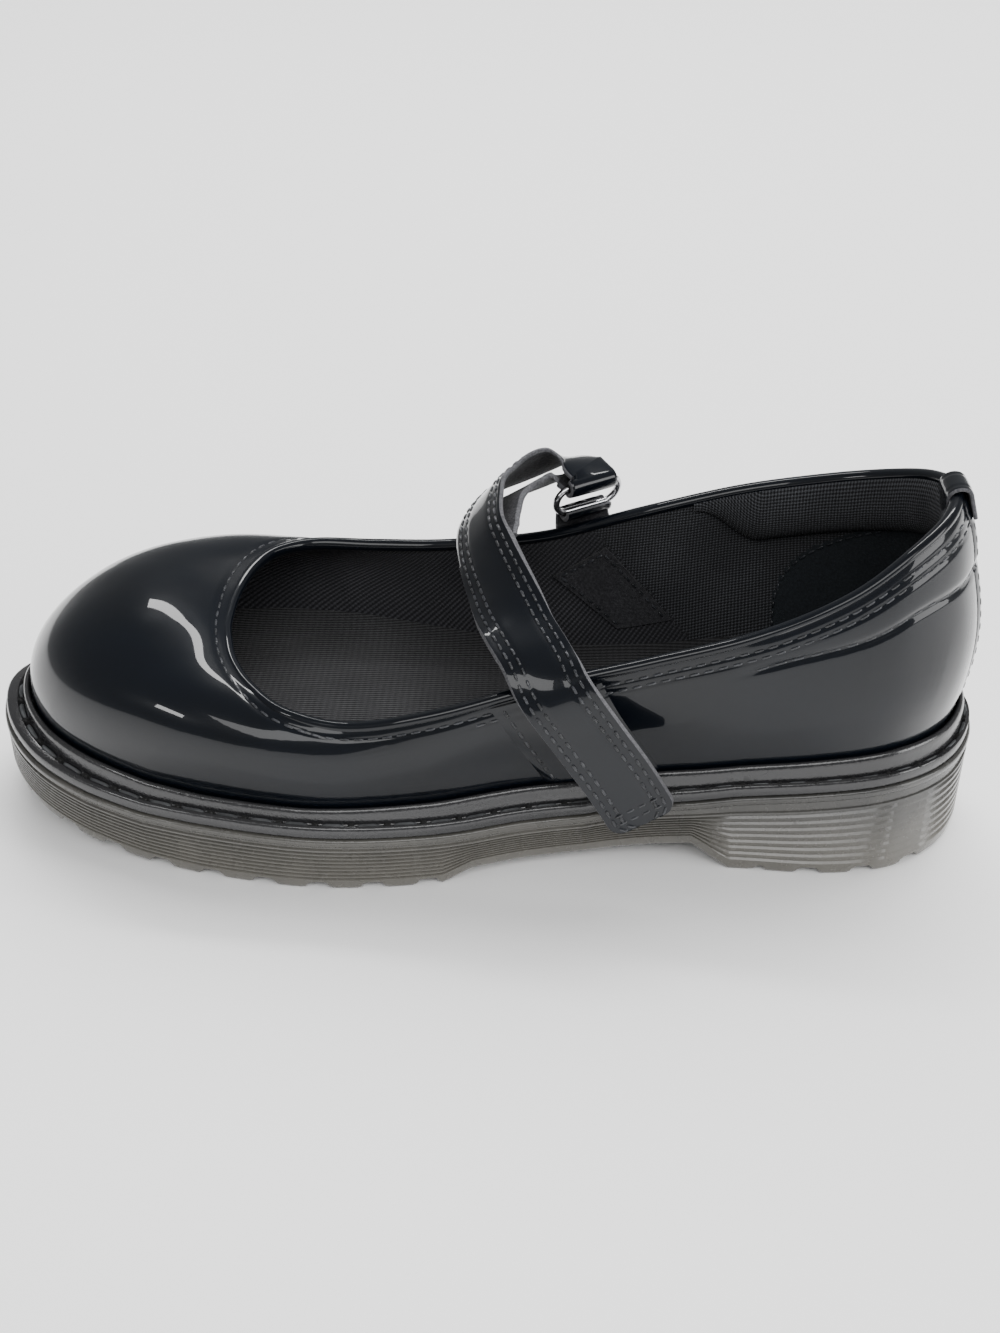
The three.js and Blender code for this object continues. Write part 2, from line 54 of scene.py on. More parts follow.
Section = tuple[tuple[float, float], ...]

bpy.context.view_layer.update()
MM = 0.001
UPPER_WALL = 2.4
FOOTBED_DROP = 6.0
LASTED_EDGE = 0.9
FOOTBED_SIDE = 3.45
FOOTBED_CUP = 3.6
STRAP_WIDTH = 17.0
WIRE = 1.8
TOPSTITCH = 3.4
BACK_SEAM = 13.0
ROUND_SIDES = 16
PLY_GAP = 0.4

# Stations round the sole from the toe tip, along the lateral side to the heel and back medially.
STATION_COLUMNS = ("x", "y", "top_x", "top_y", "top_z", "heading", "climb", "flare", "foot", "head")
STATIONS = (
    (-124, 5, -61, -2, 51, -12, -36, 0, 0.38, 0.48),
    (-119.5, -11, -60, -9, 50.1, 6, -30, 2, 0.4, 0.47),
    (-108, -24.5, -57.5, -17, 48.5, 22, -20, 5, 0.42, 0.46),
    (-90, -34, -52, -25.5, 46.9, 42, -5, 10, 0.43, 0.45),
    (-65, -41, -43, -33, 45, 65, 22, 13, 0.43, 0.44),
    (-37, -45, -28, -37, 43.9, 85, 50, 14, 0.4, 0.42),
    (-10, -42.5, -8, -37, 47.4, 90, 66, 13, 0.38, 0.4),
    (15, -35.5, 17, -32.2, 52.8, 90, 74, 12, 0.36, 0.38),
    (40, -32, 41, -29.2, 57.8, 90, 78, 12, 0.36, 0.38),
    (65, -33, 66, -28.5, 65.3, 90, 78, 12, 0.38, 0.38),
    (88, -34, 86, -27, 74.8, 98, 77, 11, 0.4, 0.4),
    (106, -30, 100, -21.5, 83.6, 118, 75, 11, 0.4, 0.42),
    (120, -18, 110, -12, 88.5, 150, 73, 11, 0.42, 0.44),
    (126, 0, 114, 0, 90.5, 180, 73, 12, 0.42, 0.44),
    (120, 18, 110.5, 11, 89, 210, 73, 11, 0.42, 0.44),
    (106, 30, 101, 20, 85, 242, 75, 11, 0.4, 0.42),
    (88, 34, 85, 26, 80.3, 262, 77, 11, 0.4, 0.4),
    (65, 31.5, 65, 28.5, 75.5, 270, 78, 11, 0.38, 0.38),
    (40, 28.5, 41, 28.8, 68.7, 270, 78, 11, 0.36, 0.38),
    (15, 29.5, 17, 30.5, 60.5, 271, 76, 11, 0.36, 0.38),
    (-10, 36, -8, 33.5, 55.8, 272, 66, 12, 0.38, 0.4),
    (-37, 43, -28, 34.2, 54.8, 276, 45, 13, 0.46, 0.42),
    (-65, 44, -44, 32, 55.6, 292, 15, 14, 0.5, 0.45),
    (-90, 38.5, -53, 26, 56, 312, -8, 12, 0.5, 0.46),
    (-108, 29, -58, 18, 55, 328, -22, 7, 0.47, 0.48),
    (-119.5, 18.5, -60.5, 8, 53, 340, -32, 2, 0.41, 0.49),
)

# Heights along the shoe: tread, ridge, bead and footbed, and the welt's inset.
LEVEL_COLUMNS = ("x", "tread", "ridge", "bead", "inset", "footbed")
LEVELS = (
    (-125, 9.8, 23.6, 30.4, 7.8, 30),
    (-110, 6, 20, 27.6, 6.8, 28.6),
    (-95, 3, 17.3, 25, 6.2, 27.6),
    (-80, 0.9, 15.6, 22.7, 5.8, 27.2),
    (-66, 0, 15.3, 21.6, 5.8, 27),
    (-40, 0, 15.2, 21.3, 5.8, 27),
    (-6, 0, 14.9, 22.2, 5.6, 27),
    (1, 3.2, 14.8, 22.5, 5.5, 27),
    (28, 4.3, 15.5, 23.4, 5.3, 27.2),
    (54.5, 7, 19.8, 27.3, 5, 28.6),
    (64, 0, 21.8, 29.1, 4.9, 29.3),
    (85, 0, 24.7, 32.5, 4.8, 30.6),
    (104, 0, 26.3, 34.5, 4.8, 31.4),
    (127, 0.5, 26.6, 35, 4.8, 31.8),
)

# The strap's middle line, the direction across it, its width, and how far the end that is folded back
# beneath it stands off at its near and far edges.
STRAP_COLUMNS = ("x", "y", "z", "ax", "ay", "az", "width", "part", "far")
STRAP_RUN = (
    (42.2, -43.4, 22.9, -0.81, -0.05, -0.58, 0.8, 0, 0),
    (41.6, -43.3, 23.9, -0.81, -0.05, -0.58, 1, 0, 0),
    (35.4, -42.4, 34, -0.84, -0.05, -0.54, 1, 0, 0),
    (28.2, -41, 44, -0.85, -0.04, -0.52, 1, 0, 0),
    (20.2, -38.8, 55, -0.87, -0.1, -0.45, 1, 0, 0),
    (15.6, -32, 60.3, -0.9, -0.38, -0.18, 1, 0, 0),
    (11.3, -24.2, 63.3, -0.92, -0.35, -0.2, 1, 0, 0),
    (8.3, -16.4, 65.4, -0.88, -0.16, -0.45, 1, 0, 0),
    (5.8, -8.7, 67.1, -0.8, -0.01, -0.6, 1, 0, 0),
    (3.3, -1.1, 69.1, -0.74, 0.1, -0.66, 1, 0.5, 0.3),
    (1.3, 6.5, 71.3, -0.66, 0.21, -0.72, 1, 4.2, 1.6),
    (0.9, 14.2, 73.1, -0.64, 0.28, -0.71, 1, 5, 2),
    (2.1, 21.6, 74.4, -0.53, 0.39, -0.75, 1, 5.4, 2),
    (5.5, 28.2, 75.3, -0.42, 0.54, -0.73, 1, 5.4, 2),
    (10.9, 32.9, 76.6, -0.16, 0.64, -0.75, 1, 6.2, 2),
    (17.2, 35.4, 78, 0.2, 0.74, -0.64, 0.96, 5.8, 2.2),
    (22.6, 34.9, 78.3, 0.55, 0.76, -0.33, 0.89, 4, 2.6),
    (26.8, 32.4, 77.3, 0.8, 0.6, -0.05, 0.83, 3, 3),
)


def unit(vectors: Array) -> Array:
    """Vectors along the last axis, made one long."""
    return vectors / np.maximum(np.linalg.norm(vectors, axis=-1, keepdims=True), 1e-9)


def ease(low: float, high: float, x: Array) -> Array:
    """A smooth step from 0 at low to 1 at high."""
    t = np.clip((np.asarray(x, float) - low) / (high - low), 0, 1)
    return t * t * (3 - 2 * t)


def lengths_along(points: Array) -> Array:
    """The length along a line of points, from its first point to each."""
    return np.r_[0, np.cumsum(np.linalg.norm(np.diff(points, axis=0), axis=1))]


def circle(count: int) -> Array:
    """Even angles round a circle."""
    return np.linspace(0, 2 * np.pi, count + 1)[:-1]


def between(spans: Sequence[Sequence[float]], x: Array) -> Array:
    """One inside any of the spans and 0 outside, each a start, full start, full end and end."""
    return np.max([ease(a, b, x) * ease(d, c, x) for a, b, c, d in spans], axis=0)


class ShoeForm:
    """The lasted form of the shoe: sole outline, heights and the upper's wall."""

    def __init__(self, shift: Array) -> None:
        """Reads the tables.

        Args:
            shift: From the tables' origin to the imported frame's, in millimetres.
        """
        self.shift = shift
        self.rows = dict(zip(STATION_COLUMNS, np.array(STATIONS, float).T))
        self.levels = dict(zip(LEVEL_COLUMNS, np.array(LEVELS, float).T))
        self.count = len(STATIONS)
        heading, climb = np.radians(self.rows["heading"]), np.radians(self.rows["climb"])
        self.rows["in_x"] = np.cos(heading) * np.cos(climb)
        self.rows["in_y"] = np.sin(heading) * np.cos(climb)
        self.rows["in_z"] = np.sin(climb)

    def around(self, column: str, u: Array) -> Array:
        """A station column's smooth value at places u round the shoe.

        Args:
            column: The station column's name.
            u: Places round the shoe.

        Returns:
            The values, in u's shape.
        """
        u = np.asarray(u, float)
        i = np.floor(u).astype(int)
        t = u - i
        a, b, c, d = (self.rows[column][(i + k) % self.count] for k in (-1, 0, 1, 2))
        m0, m1 = (c - a) / 2, (d - b) / 2
        t2, t3 = t * t, t * t * t
        return (2 * t3 - 3 * t2 + 1) * b + (t3 - 2 * t2 + t) * m0 + (3 * t2 - 2 * t3) * c + (t3 - t2) * m1

    def level(self, column: str, x: Array) -> Array:
        """A level column's value at length x."""
        return np.interp(x, self.levels["x"], self.levels[column])

    def outline(self, u: Array, inset: Array | float, z: Array | float = 0.0) -> Array:
        """The sole's outline moved inwards.

        Args:
            u: Places round the shoe.
            inset: Distance inwards.
            z: Height of the points.

        Returns:
            Points with a last axis of three.
        """
        u = np.asarray(u, float)
        dx = self.around("x", u + 0.01) - self.around("x", u - 0.01)
        dy = self.around("y", u + 0.01) - self.around("y", u - 0.01)
        size = np.hypot(dx, dy)
        x = self.around("x", u) - dy / size * inset
        y = self.around("y", u) + dx / size * inset
        return np.stack(np.broadcast_arrays(x, y, z), -1)

    def outward(self, u: Array) -> Array:
        """The level direction out of the shoe at u."""
        return self.outline(u, -1.0) - self.outline(u, 0.0)

    def wall(self, u: Array, v: Array) -> Array:
        """The upper's outside.

        Args:
            u: Places round the shoe.
            v: Parts of the wall's height, from the welt (0) to the edge (1).

        Returns:
            Points of the broadcast shape of u and v, with a last axis of three.
        """
        u, v = np.broadcast_arrays(np.asarray(u, float), np.asarray(v, float))
        x = self.around("x", u)
        start = self.outline(u, self.level("inset", x), self.level("bead", x) - LASTED_EDGE)
        end = np.stack([self.around(k, u) for k in ("top_x", "top_y", "top_z")], -1)
        chord = np.linalg.norm(end - start, axis=-1)
        tilt = np.radians(self.around("flare", u))
        rise = self.outward(u) * np.sin(tilt)[..., None]
        rise[..., 2] = np.cos(tilt)
        arrive = unit(np.stack([self.around(k, u) for k in ("in_x", "in_y", "in_z")], -1))
        foot = start + rise * (self.around("foot", u) * chord)[..., None]
        head = end - arrive * (self.around("head", u) * chord)[..., None]
        t = v[..., None]
        s = 1 - t
        return s**3 * start + 3 * s * s * t * foot + 3 * s * t * t * head + t**3 * end

    def normal(self, u: Array, v: Array) -> Array:
        """The outward normal of the upper's outside.

        Args:
            u: Places round the shoe.
            v: Parts of the wall's height.

        Returns:
            Directions with a last axis of three.
        """
        u, v = np.broadcast_arrays(np.asarray(u, float), np.asarray(v, float))
        along = self.wall(u + 0.02, v) - self.wall(u - 0.02, v)
        up = self.wall(u, np.minimum(v + 0.02, 1)) - self.wall(u, np.maximum(v - 0.02, 0))
        return unit(np.cross(along, up))

    def skin(self, u: Array, v: Array, depth: Array | float) -> Array:
        """The upper's outside moved out by depth (negative is into the shoe)."""
        return self.wall(u, v) + self.normal(u, v) * np.asarray(depth, float)[..., None]

    def height(self, u: Array) -> Array:
        """The wall's length from the welt to its edge."""
        points = self.wall(np.asarray(u, float)[..., None], np.linspace(0, 1, 17))
        return np.linalg.norm(np.diff(points, axis=-2), axis=-1).sum(-1)

    def below_edge(self, u: Array, distance: Array | float) -> Array:
        """The v that lies a distance below the throat or collar edge."""
        return 1 - np.asarray(distance, float) / self.height(u)

    def wall_place(self, u: Array, z: Array) -> Array:
        """The v at which the wall first reaches height z.

        Args:
            u: Places round the shoe.
            z: The height.

        Returns:
            Parts of the wall's height.
        """
        low, high = np.zeros_like(u), np.full_like(u, 0.6)
        for _ in range(14):
            middle = (low + high) / 2
            under = self.wall(u, middle)[..., 2] < z
            low, high = np.where(under, middle, low), np.where(under, high, middle)
        return low

    def collar_seam(self, u: Array) -> Array:
        """How far below the edge the padded collar's lower seam runs."""
        from_heel = np.abs(np.asarray(u, float) - BACK_SEAM)
        return 8.5 + 4.5 * ease(3.9, 2.2, from_heel) + 3.5 * ease(2.2, 0.3, from_heel)


class Slot(Enum):
    """The record's material slots."""

    SOLE = "sole_rubber"
    WELT = "welt_rubber"
    PATENT = "patent"
    SOCK = "sock_fabric"
    LINING = "lining_fabric"
    METAL = "ring_metal"


class Weave(Enum):
    """How a cloth is made."""

    TWILL = "twill"
    MESH = "mesh"
    RIB = "rib"
    SUEDE = "suede"


class Value:
    """A shader value or colour with arithmetic."""

    def __init__(self, shader: "Shader", socket: bpy.types.NodeSocket) -> None:
        """Wraps one output socket of a shader."""
        self.shader = shader
        self.socket = socket

    def math(self, operation: str, *others: "Value | float") -> "Value":
        """A Math node on this value and the others."""
        inputs = dict(enumerate((self, *others)))
        return self.shader.node("ShaderNodeMath", {"operation": operation}, inputs)

    def __add__(self, other: "Value | float") -> "Value":
        """Sum."""
        return self.math("ADD", other)

    __radd__ = __add__

    def __sub__(self, other: "Value | float") -> "Value":
        """Difference."""
        return self.math("SUBTRACT", other)

    def __rsub__(self, other: float) -> "Value":
        """Reflected difference."""
        return self.math("MULTIPLY", -1.0) + other

    def __mul__(self, other: "Value | float") -> "Value":
        """Product."""
        return self.math("MULTIPLY", other)

    __rmul__ = __mul__

    def wave(self, period: float) -> "Value":
        """A sine of this value with the given period."""
        return (self * (2 * math.pi / period)).math("SINE")

    def band(self, low: float, high: float) -> "Value":
        """A smooth step from 0 at low to 1 at high."""
        settings = {"interpolation_type": "SMOOTHSTEP"}
        return self.shader.node("ShaderNodeMapRange", settings, {0: self, 1: low, 2: high})

    def tint(self, dark: Colour, light: Colour) -> "Value":
        """A colour from dark at 0 to light at 1."""
        inputs = {0: self, 6: (*dark, 1.0), 7: (*light, 1.0)}
        return self.shader.node("ShaderNodeMix", {"data_type": "RGBA"}, inputs, output=2)


class Shader:
    """One material's node tree."""

    def __init__(self, name: str) -> None:
        """Starts an empty material.

        Args:
            name: The material's name.
        """
        self.material = bpy.data.materials.new(name)
        self.material.use_nodes = True
        self.tree = self.material.node_tree
        self.tree.nodes.clear()

    def node(
        self, kind: str, settings: dict[str, Any], inputs: dict[int | str, Any], output: int | str = 0
    ) -> Value:
        """Adds a node.

        Args:
            kind: The node's type.
            settings: Its properties, set first.
            inputs: Values or links of its sockets.
            output: The output that is wanted.

        Returns:
            That output as a value.
        """
        made = self.tree.nodes.new(kind)
        for key, setting in settings.items():
            setattr(made, key, setting)
        for key, value in inputs.items():
            if isinstance(value, Value):
                self.tree.links.new(value.socket, made.inputs[key])
            else:
                made.inputs[key].default_value = value
        return Value(self, made.outputs[output])

    def place(self, uv: bool = False) -> Value:
        """The object's own coordinates, or its surface coordinates in millimetres.

        Args:
            uv: Whether surface coordinates are wanted.

        Returns:
            The vector.
        """
        if uv:
            return self.node("ShaderNodeUVMap", {"uv_map": "surface"}, {})
        return self.node("ShaderNodeTexCoord", {}, {}, output="Object")

    def axis(self, vector: Value, index: int) -> Value:
        """One part of a vector."""
        return self.node("ShaderNodeSeparateXYZ", {}, {0: vector}, output=index)

    def noise(self, vector: Value, scale: float, detail: float = 3.0) -> Value:
        """Soft noise at a scale per unit of the vector."""
        return self.node("ShaderNodeTexNoise", {}, {"Vector": vector, "Scale": scale, "Detail": detail})

    def bump(self, height: Value, distance: float, strength: float = 1.0) -> Value:
        """A bump from a height, in metres for a height of one."""
        inputs = {"Height": height, "Distance": distance, "Strength": strength}
        return self.node("ShaderNodeBump", {}, inputs)

    def surface(self, inputs: dict[str, Any]) -> bpy.types.Material:
        """Ends the material in one principled surface.

        Args:
            inputs: Values or links of its sockets.

        Returns:
            The material.
        """
        shader = self.node("ShaderNodeBsdfPrincipled", {}, inputs)
        self.node_out(shader)
        return self.material

    def node_out(self, shader: Value) -> None:
        """Links the material's output."""
        out = self.tree.nodes.new("ShaderNodeOutputMaterial")
        self.tree.links.new(shader.socket, out.inputs["Surface"])


@dataclass(frozen=True)
class Patent:
    """Black patent leather: a deep glossy coat over a faintly uneven face."""

    name: str = "black_patent"
    deep: Colour = (0.0015, 0.0018, 0.0024)
    pale: Colour = (0.0025, 0.0045, 0.0085)
    roughness: float = 0.3
    unevenness: float = 0.0016

    def make(self) -> bpy.types.Material:
        """Builds the material.

        Returns:
            The material.
        """
        s = Shader(self.name)
        at = s.place()
        cloud = s.noise(at, 24.0)
        smear = s.noise(at, 90.0, 5.0).band(0.56, 0.8)
        pores = s.noise(at, 2600.0, 2.0)
        height = s.noise(at, 34.0, 1.5) + pores * 0.006
        return s.surface({
            "Base Color": cloud.tint(self.deep, self.pale),
            "Roughness": smear * 0.10 + self.roughness,
            "IOR": 1.4,
            "Specular IOR Level": 0.12,
            "Coat Weight": 1.0,
            "Coat IOR": 1.37,
            "Coat Roughness": 0.03,
            "Normal": s.bump(height, self.unevenness),
        })


@dataclass(frozen=True)
class Rubber:
    """Moulded rubber that is paler and smokier towards its lower edge."""

    name: str
    deep: Colour
    pale: Colour
    low: float
    high: float
    roughness: float

    def make(self) -> bpy.types.Material:
        """Builds the material.

        Returns:
            The material.
        """
        s = Shader(self.name)
        at = s.place()
        rise = s.axis(at, 2).band(self.high, self.low)
        mottle = s.noise(at, 140.0, 5.0)
        scuff = s.noise(at, 420.0, 4.0).band(0.58, 0.74)
        dust = s.noise(at, 60.0, 6.0).band(0.5, 0.8)
        tone = rise * 0.75 + mottle * 0.35 + dust * 0.12 - 0.1
        return s.surface({
            "Base Color": tone.tint(self.deep, self.pale),
            "Roughness": self.roughness + scuff * 0.22 + dust * 0.12,
            "Coat Weight": 0.4,
            "Coat Roughness": 0.1,
            "Normal": s.bump(s.noise(at, 1500.0, 4.0) + mottle * 1.5, 0.00009),
        })


@dataclass(frozen=True)
class Cloth:
    """A woven or knitted black textile, drawn in surface millimetres."""

    name: str
    weave: Weave
    deep: Colour = (0.010, 0.010, 0.012)
    pale: Colour = (0.050, 0.050, 0.056)
    pitch: float = 1.2

    def pattern(self, s: Shader, along: Value, up: Value) -> Value:
        """The raised threads of the weave, from 0 to 1.

        Args:
            s: The material's node tree.
            along: Millimetres along the surface.
            up: Millimetres up it.

        Returns:
            The height of the threads.
        """
        if self.weave is Weave.TWILL:
            ribs = (along * 0.8 + up * 0.6).wave(self.pitch)
            return (ribs + (along * 0.6 - up * 0.8).wave(self.pitch * 0.7) * 0.35) * 0.4 + 0.5
        if self.weave is Weave.MESH:
            return (along + up).wave(self.pitch) * (along - up).wave(self.pitch) * 0.5 + 0.5
        if self.weave is Weave.RIB:
            return up.wave(self.pitch) * 0.4 + along.wave(self.pitch * 1.9) * 0.12 + 0.5
        return s.noise(s.place(), 1500.0, 4.0)

    def make(self) -> bpy.types.Material:
        """Builds the material.

        Returns:
            The material.
        """
        s = Shader(self.name)
        at = s.place()
        uv = s.place(uv=True)
        fuzz = s.noise(at, 2400.0, 4.0)
        threads = self.pattern(s, s.axis(uv, 0), s.axis(uv, 1)) * 0.8 + fuzz * 0.3
        worn = s.noise(at, 45.0, 4.0).band(0.35, 0.75)
        return s.surface({
            "Base Color": (threads.band(0.25, 0.95) * (0.65 + worn * 0.35)).tint(self.deep, self.pale),
            "Roughness": 0.98 - worn * 0.12,
            "Specular IOR Level": 0.25,
            "Sheen Weight": 0.06,
            "Normal": s.bump(threads, 0.0005, 0.9),
        })


@dataclass(frozen=True)
class Thread:
    """Bonded sewing thread with a slight wax gleam."""

    name: str
    deep: Colour
    pale: Colour
    roughness: float

    def make(self) -> bpy.types.Material:
        """Builds the material.

        Returns:
            The material.
        """
        s = Shader(self.name)
        at = s.place()
        twist = s.noise(at, 3200.0, 2.0)
        return s.surface({
            "Base Color": s.noise(at, 180.0).band(0.3, 0.7).tint(self.deep, self.pale),
            "Roughness": twist * 0.2 + self.roughness,
            "Coat Weight": 0.2,
            "Normal": s.bump(twist, 0.00012),
        })


@dataclass(frozen=True)
class Wire:
    """Polished plated wire with fine scratches."""

    name: str = "plated_wire"

    def make(self) -> bpy.types.Material:
        """Builds the material.

        Returns:
            The material.
        """
        s = Shader(self.name)
        at = s.place()
        scratches = s.noise(at, 900.0, 6.0)
        return s.surface({
            "Base Color": s.noise(at, 300.0).tint((0.42, 0.42, 0.44), (0.66, 0.66, 0.68)),
            "Metallic": 1.0,
            "Roughness": scratches * 0.22 + 0.08,
            "Normal": s.bump(scratches, 0.00004),
        })


@dataclass(frozen=True)
class Floor:
    """A plain pale studio floor."""

    name: str = "pale_floor"

    def make(self) -> bpy.types.Material:
        """Builds the material.

        Returns:
            The material.
        """
        s = Shader(self.name)
        tone = s.noise(s.place(), 3.0).tint((0.93, 0.93, 0.93), (0.96, 0.96, 0.96))
        return s.surface({"Base Color": tone, "Roughness": 0.6})


class Wardrobe:
    """Every finish, made once."""

    def __init__(self) -> None:
        """Makes the materials."""
        dark_sole, pale_sole = (0.026, 0.026, 0.025), (0.125, 0.118, 0.102)
        dark_welt, pale_welt = (0.012, 0.012, 0.013), (0.030, 0.030, 0.032)
        self.patent = Patent().make()
        self.sole = Rubber("smoky_sole_rubber", dark_sole, pale_sole, 0.0, 0.026, 0.26).make()
        self.welt = Rubber("welt_rubber", dark_welt, pale_welt, 0.0, 0.04, 0.15).make()
        self.twill = Cloth("forefoot_twill", Weave.TWILL).make()
        self.mesh = self.cloth("quarter_mesh", Weave.MESH, (0.004, 0.004, 0.005), (0.075, 0.078, 0.086), 1.7)
        self.grip = self.cloth("heel_grip", Weave.SUEDE, (0.007, 0.009, 0.011), (0.022, 0.027, 0.032))
        self.sock = self.cloth("sock_rib", Weave.RIB, (0.010, 0.010, 0.011), (0.045, 0.045, 0.048), 0.9)
        self.backing = self.cloth("strap_backing", Weave.SUEDE, (0.012, 0.012, 0.014), (0.055, 0.055, 0.06))
        self.raw_edge = self.cloth("raw_edge", Weave.SUEDE, (0.05, 0.05, 0.055), (0.14, 0.14, 0.15))
        self.thread = self.sewn("top_thread", (0.008, 0.009, 0.011), (0.032, 0.034, 0.04), 0.24)
        self.welt_thread = self.sewn("welt_thread", (0.03, 0.032, 0.034), (0.08, 0.084, 0.088), 0.5)
        # Near-black material for the welt's needle holes: painted shade, since the welt has no real holes.
        self.hole_shade = self.sewn("needle_hole_shade", (0.002, 0.002, 0.002), (0.005, 0.005, 0.005), 0.8)
        self.wire = Wire().make()
        self.floor = Floor().make()
        self.strip = [self.patent, self.raw_edge, self.backing]

    @staticmethod
    def cloth(name: str, weave: Weave, deep: Colour, pale: Colour, pitch: float = 1.2) -> bpy.types.Material:
        """One textile's material."""
        return Cloth(name, weave, deep, pale, pitch).make()

    @staticmethod
    def sewn(name: str, deep: Colour, pale: Colour, roughness: float) -> bpy.types.Material:
        """One thread's material."""
        return Thread(name, deep, pale, roughness).make()


@dataclass
class Shell:
    """Points and faces of one mesh, in millimetres."""

    points: Array
    faces: list[Sequence[int]]
    uv: Array | None = None
    finish: Array | None = None

    @staticmethod
    def grid(
        points: Array, close_rows: bool = False, close_columns: bool = False, cap: bool = False
    ) -> "Shell":
        """A sheet of quads over a grid of points.

        Args:
            points: Shape (rows, columns, 3).
            close_rows: Joins the last row to the first.
            close_columns: Joins the last column to the first.
            cap: Closes the first and last rows with one face each.

        Returns:
            The shell.
        """
        rows, columns = points.shape[:2]
        index = np.arange(rows * columns).reshape(rows, columns)
        if close_rows:
            index = np.vstack([index, index[:1]])
        if close_columns:
            index = np.hstack([index, index[:, :1]])
        quads = np.stack([index[:-1, :-1], index[1:, :-1], index[1:, 1:], index[:-1, 1:]], -1).reshape(-1, 4)
        faces = quads.tolist()
        if cap:
            faces += [list(range(columns)), list(range((rows - 1) * columns, rows * columns))[::-1]]
        return Shell(points.reshape(-1, 3), faces)

    @staticmethod
    def plate(face: Array, back: Array) -> "Shell":
        """A closed plate between a face and a back of the same grid."""
        return Shell.grid(np.concatenate([face, back[:, ::-1]], 1), close_columns=True, cap=True)

    @staticmethod
    def join(shells: Sequence["Shell"]) -> "Shell":
        """Several shells as one.

        Args:
            shells: The shells, all with finishes and surface coordinates or all without.

        Returns:
            The one shell.
        """
        start, faces = 0, []
        for shell in shells:
            faces += [[i + start for i in face] for face in shell.faces]
            start += len(shell.points)
        uv = None if shells[0].uv is None else np.concatenate([s.uv for s in shells])
        finish = None if shells[0].finish is None else np.concatenate([s.finish for s in shells])
        return Shell(np.concatenate([s.points for s in shells]), faces, uv, finish)

    def piece(
        self,
        form: ShoeForm,
        name: str,
        slot: Slot,
        materials: Sequence[bpy.types.Material],
        replaces: Sequence[str] = (),
        crease: float = 45.0,
        weld: float = 0.002,
    ) -> bpy.types.Object:
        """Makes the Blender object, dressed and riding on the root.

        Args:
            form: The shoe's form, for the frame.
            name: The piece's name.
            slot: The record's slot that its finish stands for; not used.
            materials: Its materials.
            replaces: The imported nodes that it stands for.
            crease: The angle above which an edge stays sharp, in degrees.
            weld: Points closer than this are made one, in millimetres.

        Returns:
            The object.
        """
        mesh = bpy.data.meshes.new(name)
        mesh.from_pydata(((self.points + form.shift) * MM).tolist(), [], self.faces)
        for material in materials:
            mesh.materials.append(material)
        if self.finish is not None:
            mesh.polygons.foreach_set("material_index", np.asarray(self.finish, np.int32))
        uv = self.points[:, :2] if self.uv is None else self.uv
        corners = np.empty(len(mesh.loops), np.int32)
        mesh.loops.foreach_get("vertex_index", corners)
        mesh.uv_layers.new(name="surface").data.foreach_set("uv", uv[corners].astype(np.float32).ravel())
        obj = bpy.data.objects.new(name, mesh)
        bpy.context.collection.objects.link(obj)
        self.clean(mesh, weld)
        mesh.polygons.foreach_set("use_smooth", np.ones(len(mesh.polygons), bool))
        mesh.set_sharp_from_angle(angle=math.radians(crease))
        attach(obj, "root")
        if replaces:
            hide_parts(*replaces)
        log.info("%s: %d faces", name, len(mesh.polygons))
        return obj

    @staticmethod
    def clean(mesh: bpy.types.Mesh, weld: float) -> None:
        """Welds a mesh's shared points and turns its faces outwards.

        Args:
            mesh: The mesh.
            weld: Points closer than this are made one, in millimetres.
        """
        work = bmesh.new()
        work.from_mesh(mesh)
        bmesh.ops.remove_doubles(work, verts=work.verts, dist=weld * MM)
        bmesh.ops.recalc_face_normals(work, faces=work.faces)
        work.to_mesh(mesh)
        work.free()


@dataclass(frozen=True)
class Stitches:
    """A row of stitches, each a plump capsule that dips into the surface at its ends."""

    pitch: float = TOPSTITCH
    length: float = 2.5
    radius: float = 0.33
    sink: float = 0.16
    sides: int = 6
    shape: Section = ((-0.5, 0.45), (-0.44, 0.8), (-0.25, 1), (0, 1), (0.25, 1), (0.44, 0.8), (0.5, 0.45))

    def along(self, path: Array, normals: Array, closed: bool = False) -> Shell:
        """Lays the row on a path.

        Args:
            path: Points on the surface, close together.
            normals: Outward directions there.
            closed: Whether the path returns to its start.

        Returns:
            All the stitches as one shell.
        """
        if closed:
            path, normals = np.vstack([path, path[:1]]), np.vstack([normals, normals[:1]])
        run = lengths_along(path)
        count = max(int(run[-1] / self.pitch), 1)
        middles = (np.arange(count) + 0.5) * run[-1] / count
        where, plump = np.array(self.shape).T
        at = middles[:, None] + where * self.length
        points = np.stack([np.interp(at, run, path[:, k]) for k in range(3)], -1)
        up = unit(np.stack([np.interp(at, run, normals[:, k]) for k in range(3)], -1))
        go = unit(np.gradient(points, axis=1))
        side = unit(np.cross(go, up))
        turn = circle(self.sides)[:, None]
        radius = self.radius * plump[None, :, None, None]
        rise = (self.radius * (plump**2 - plump[0]) - self.sink)[None, :, None, None]
        ring = (np.cos(turn) * side[:, :, None] + np.sin(turn) * up[:, :, None]) * radius
        rings = points[:, :, None] + up[:, :, None] * rise + ring
        return Shell.join([Shell.grid(one, close_columns=True, cap=True) for one in rings])


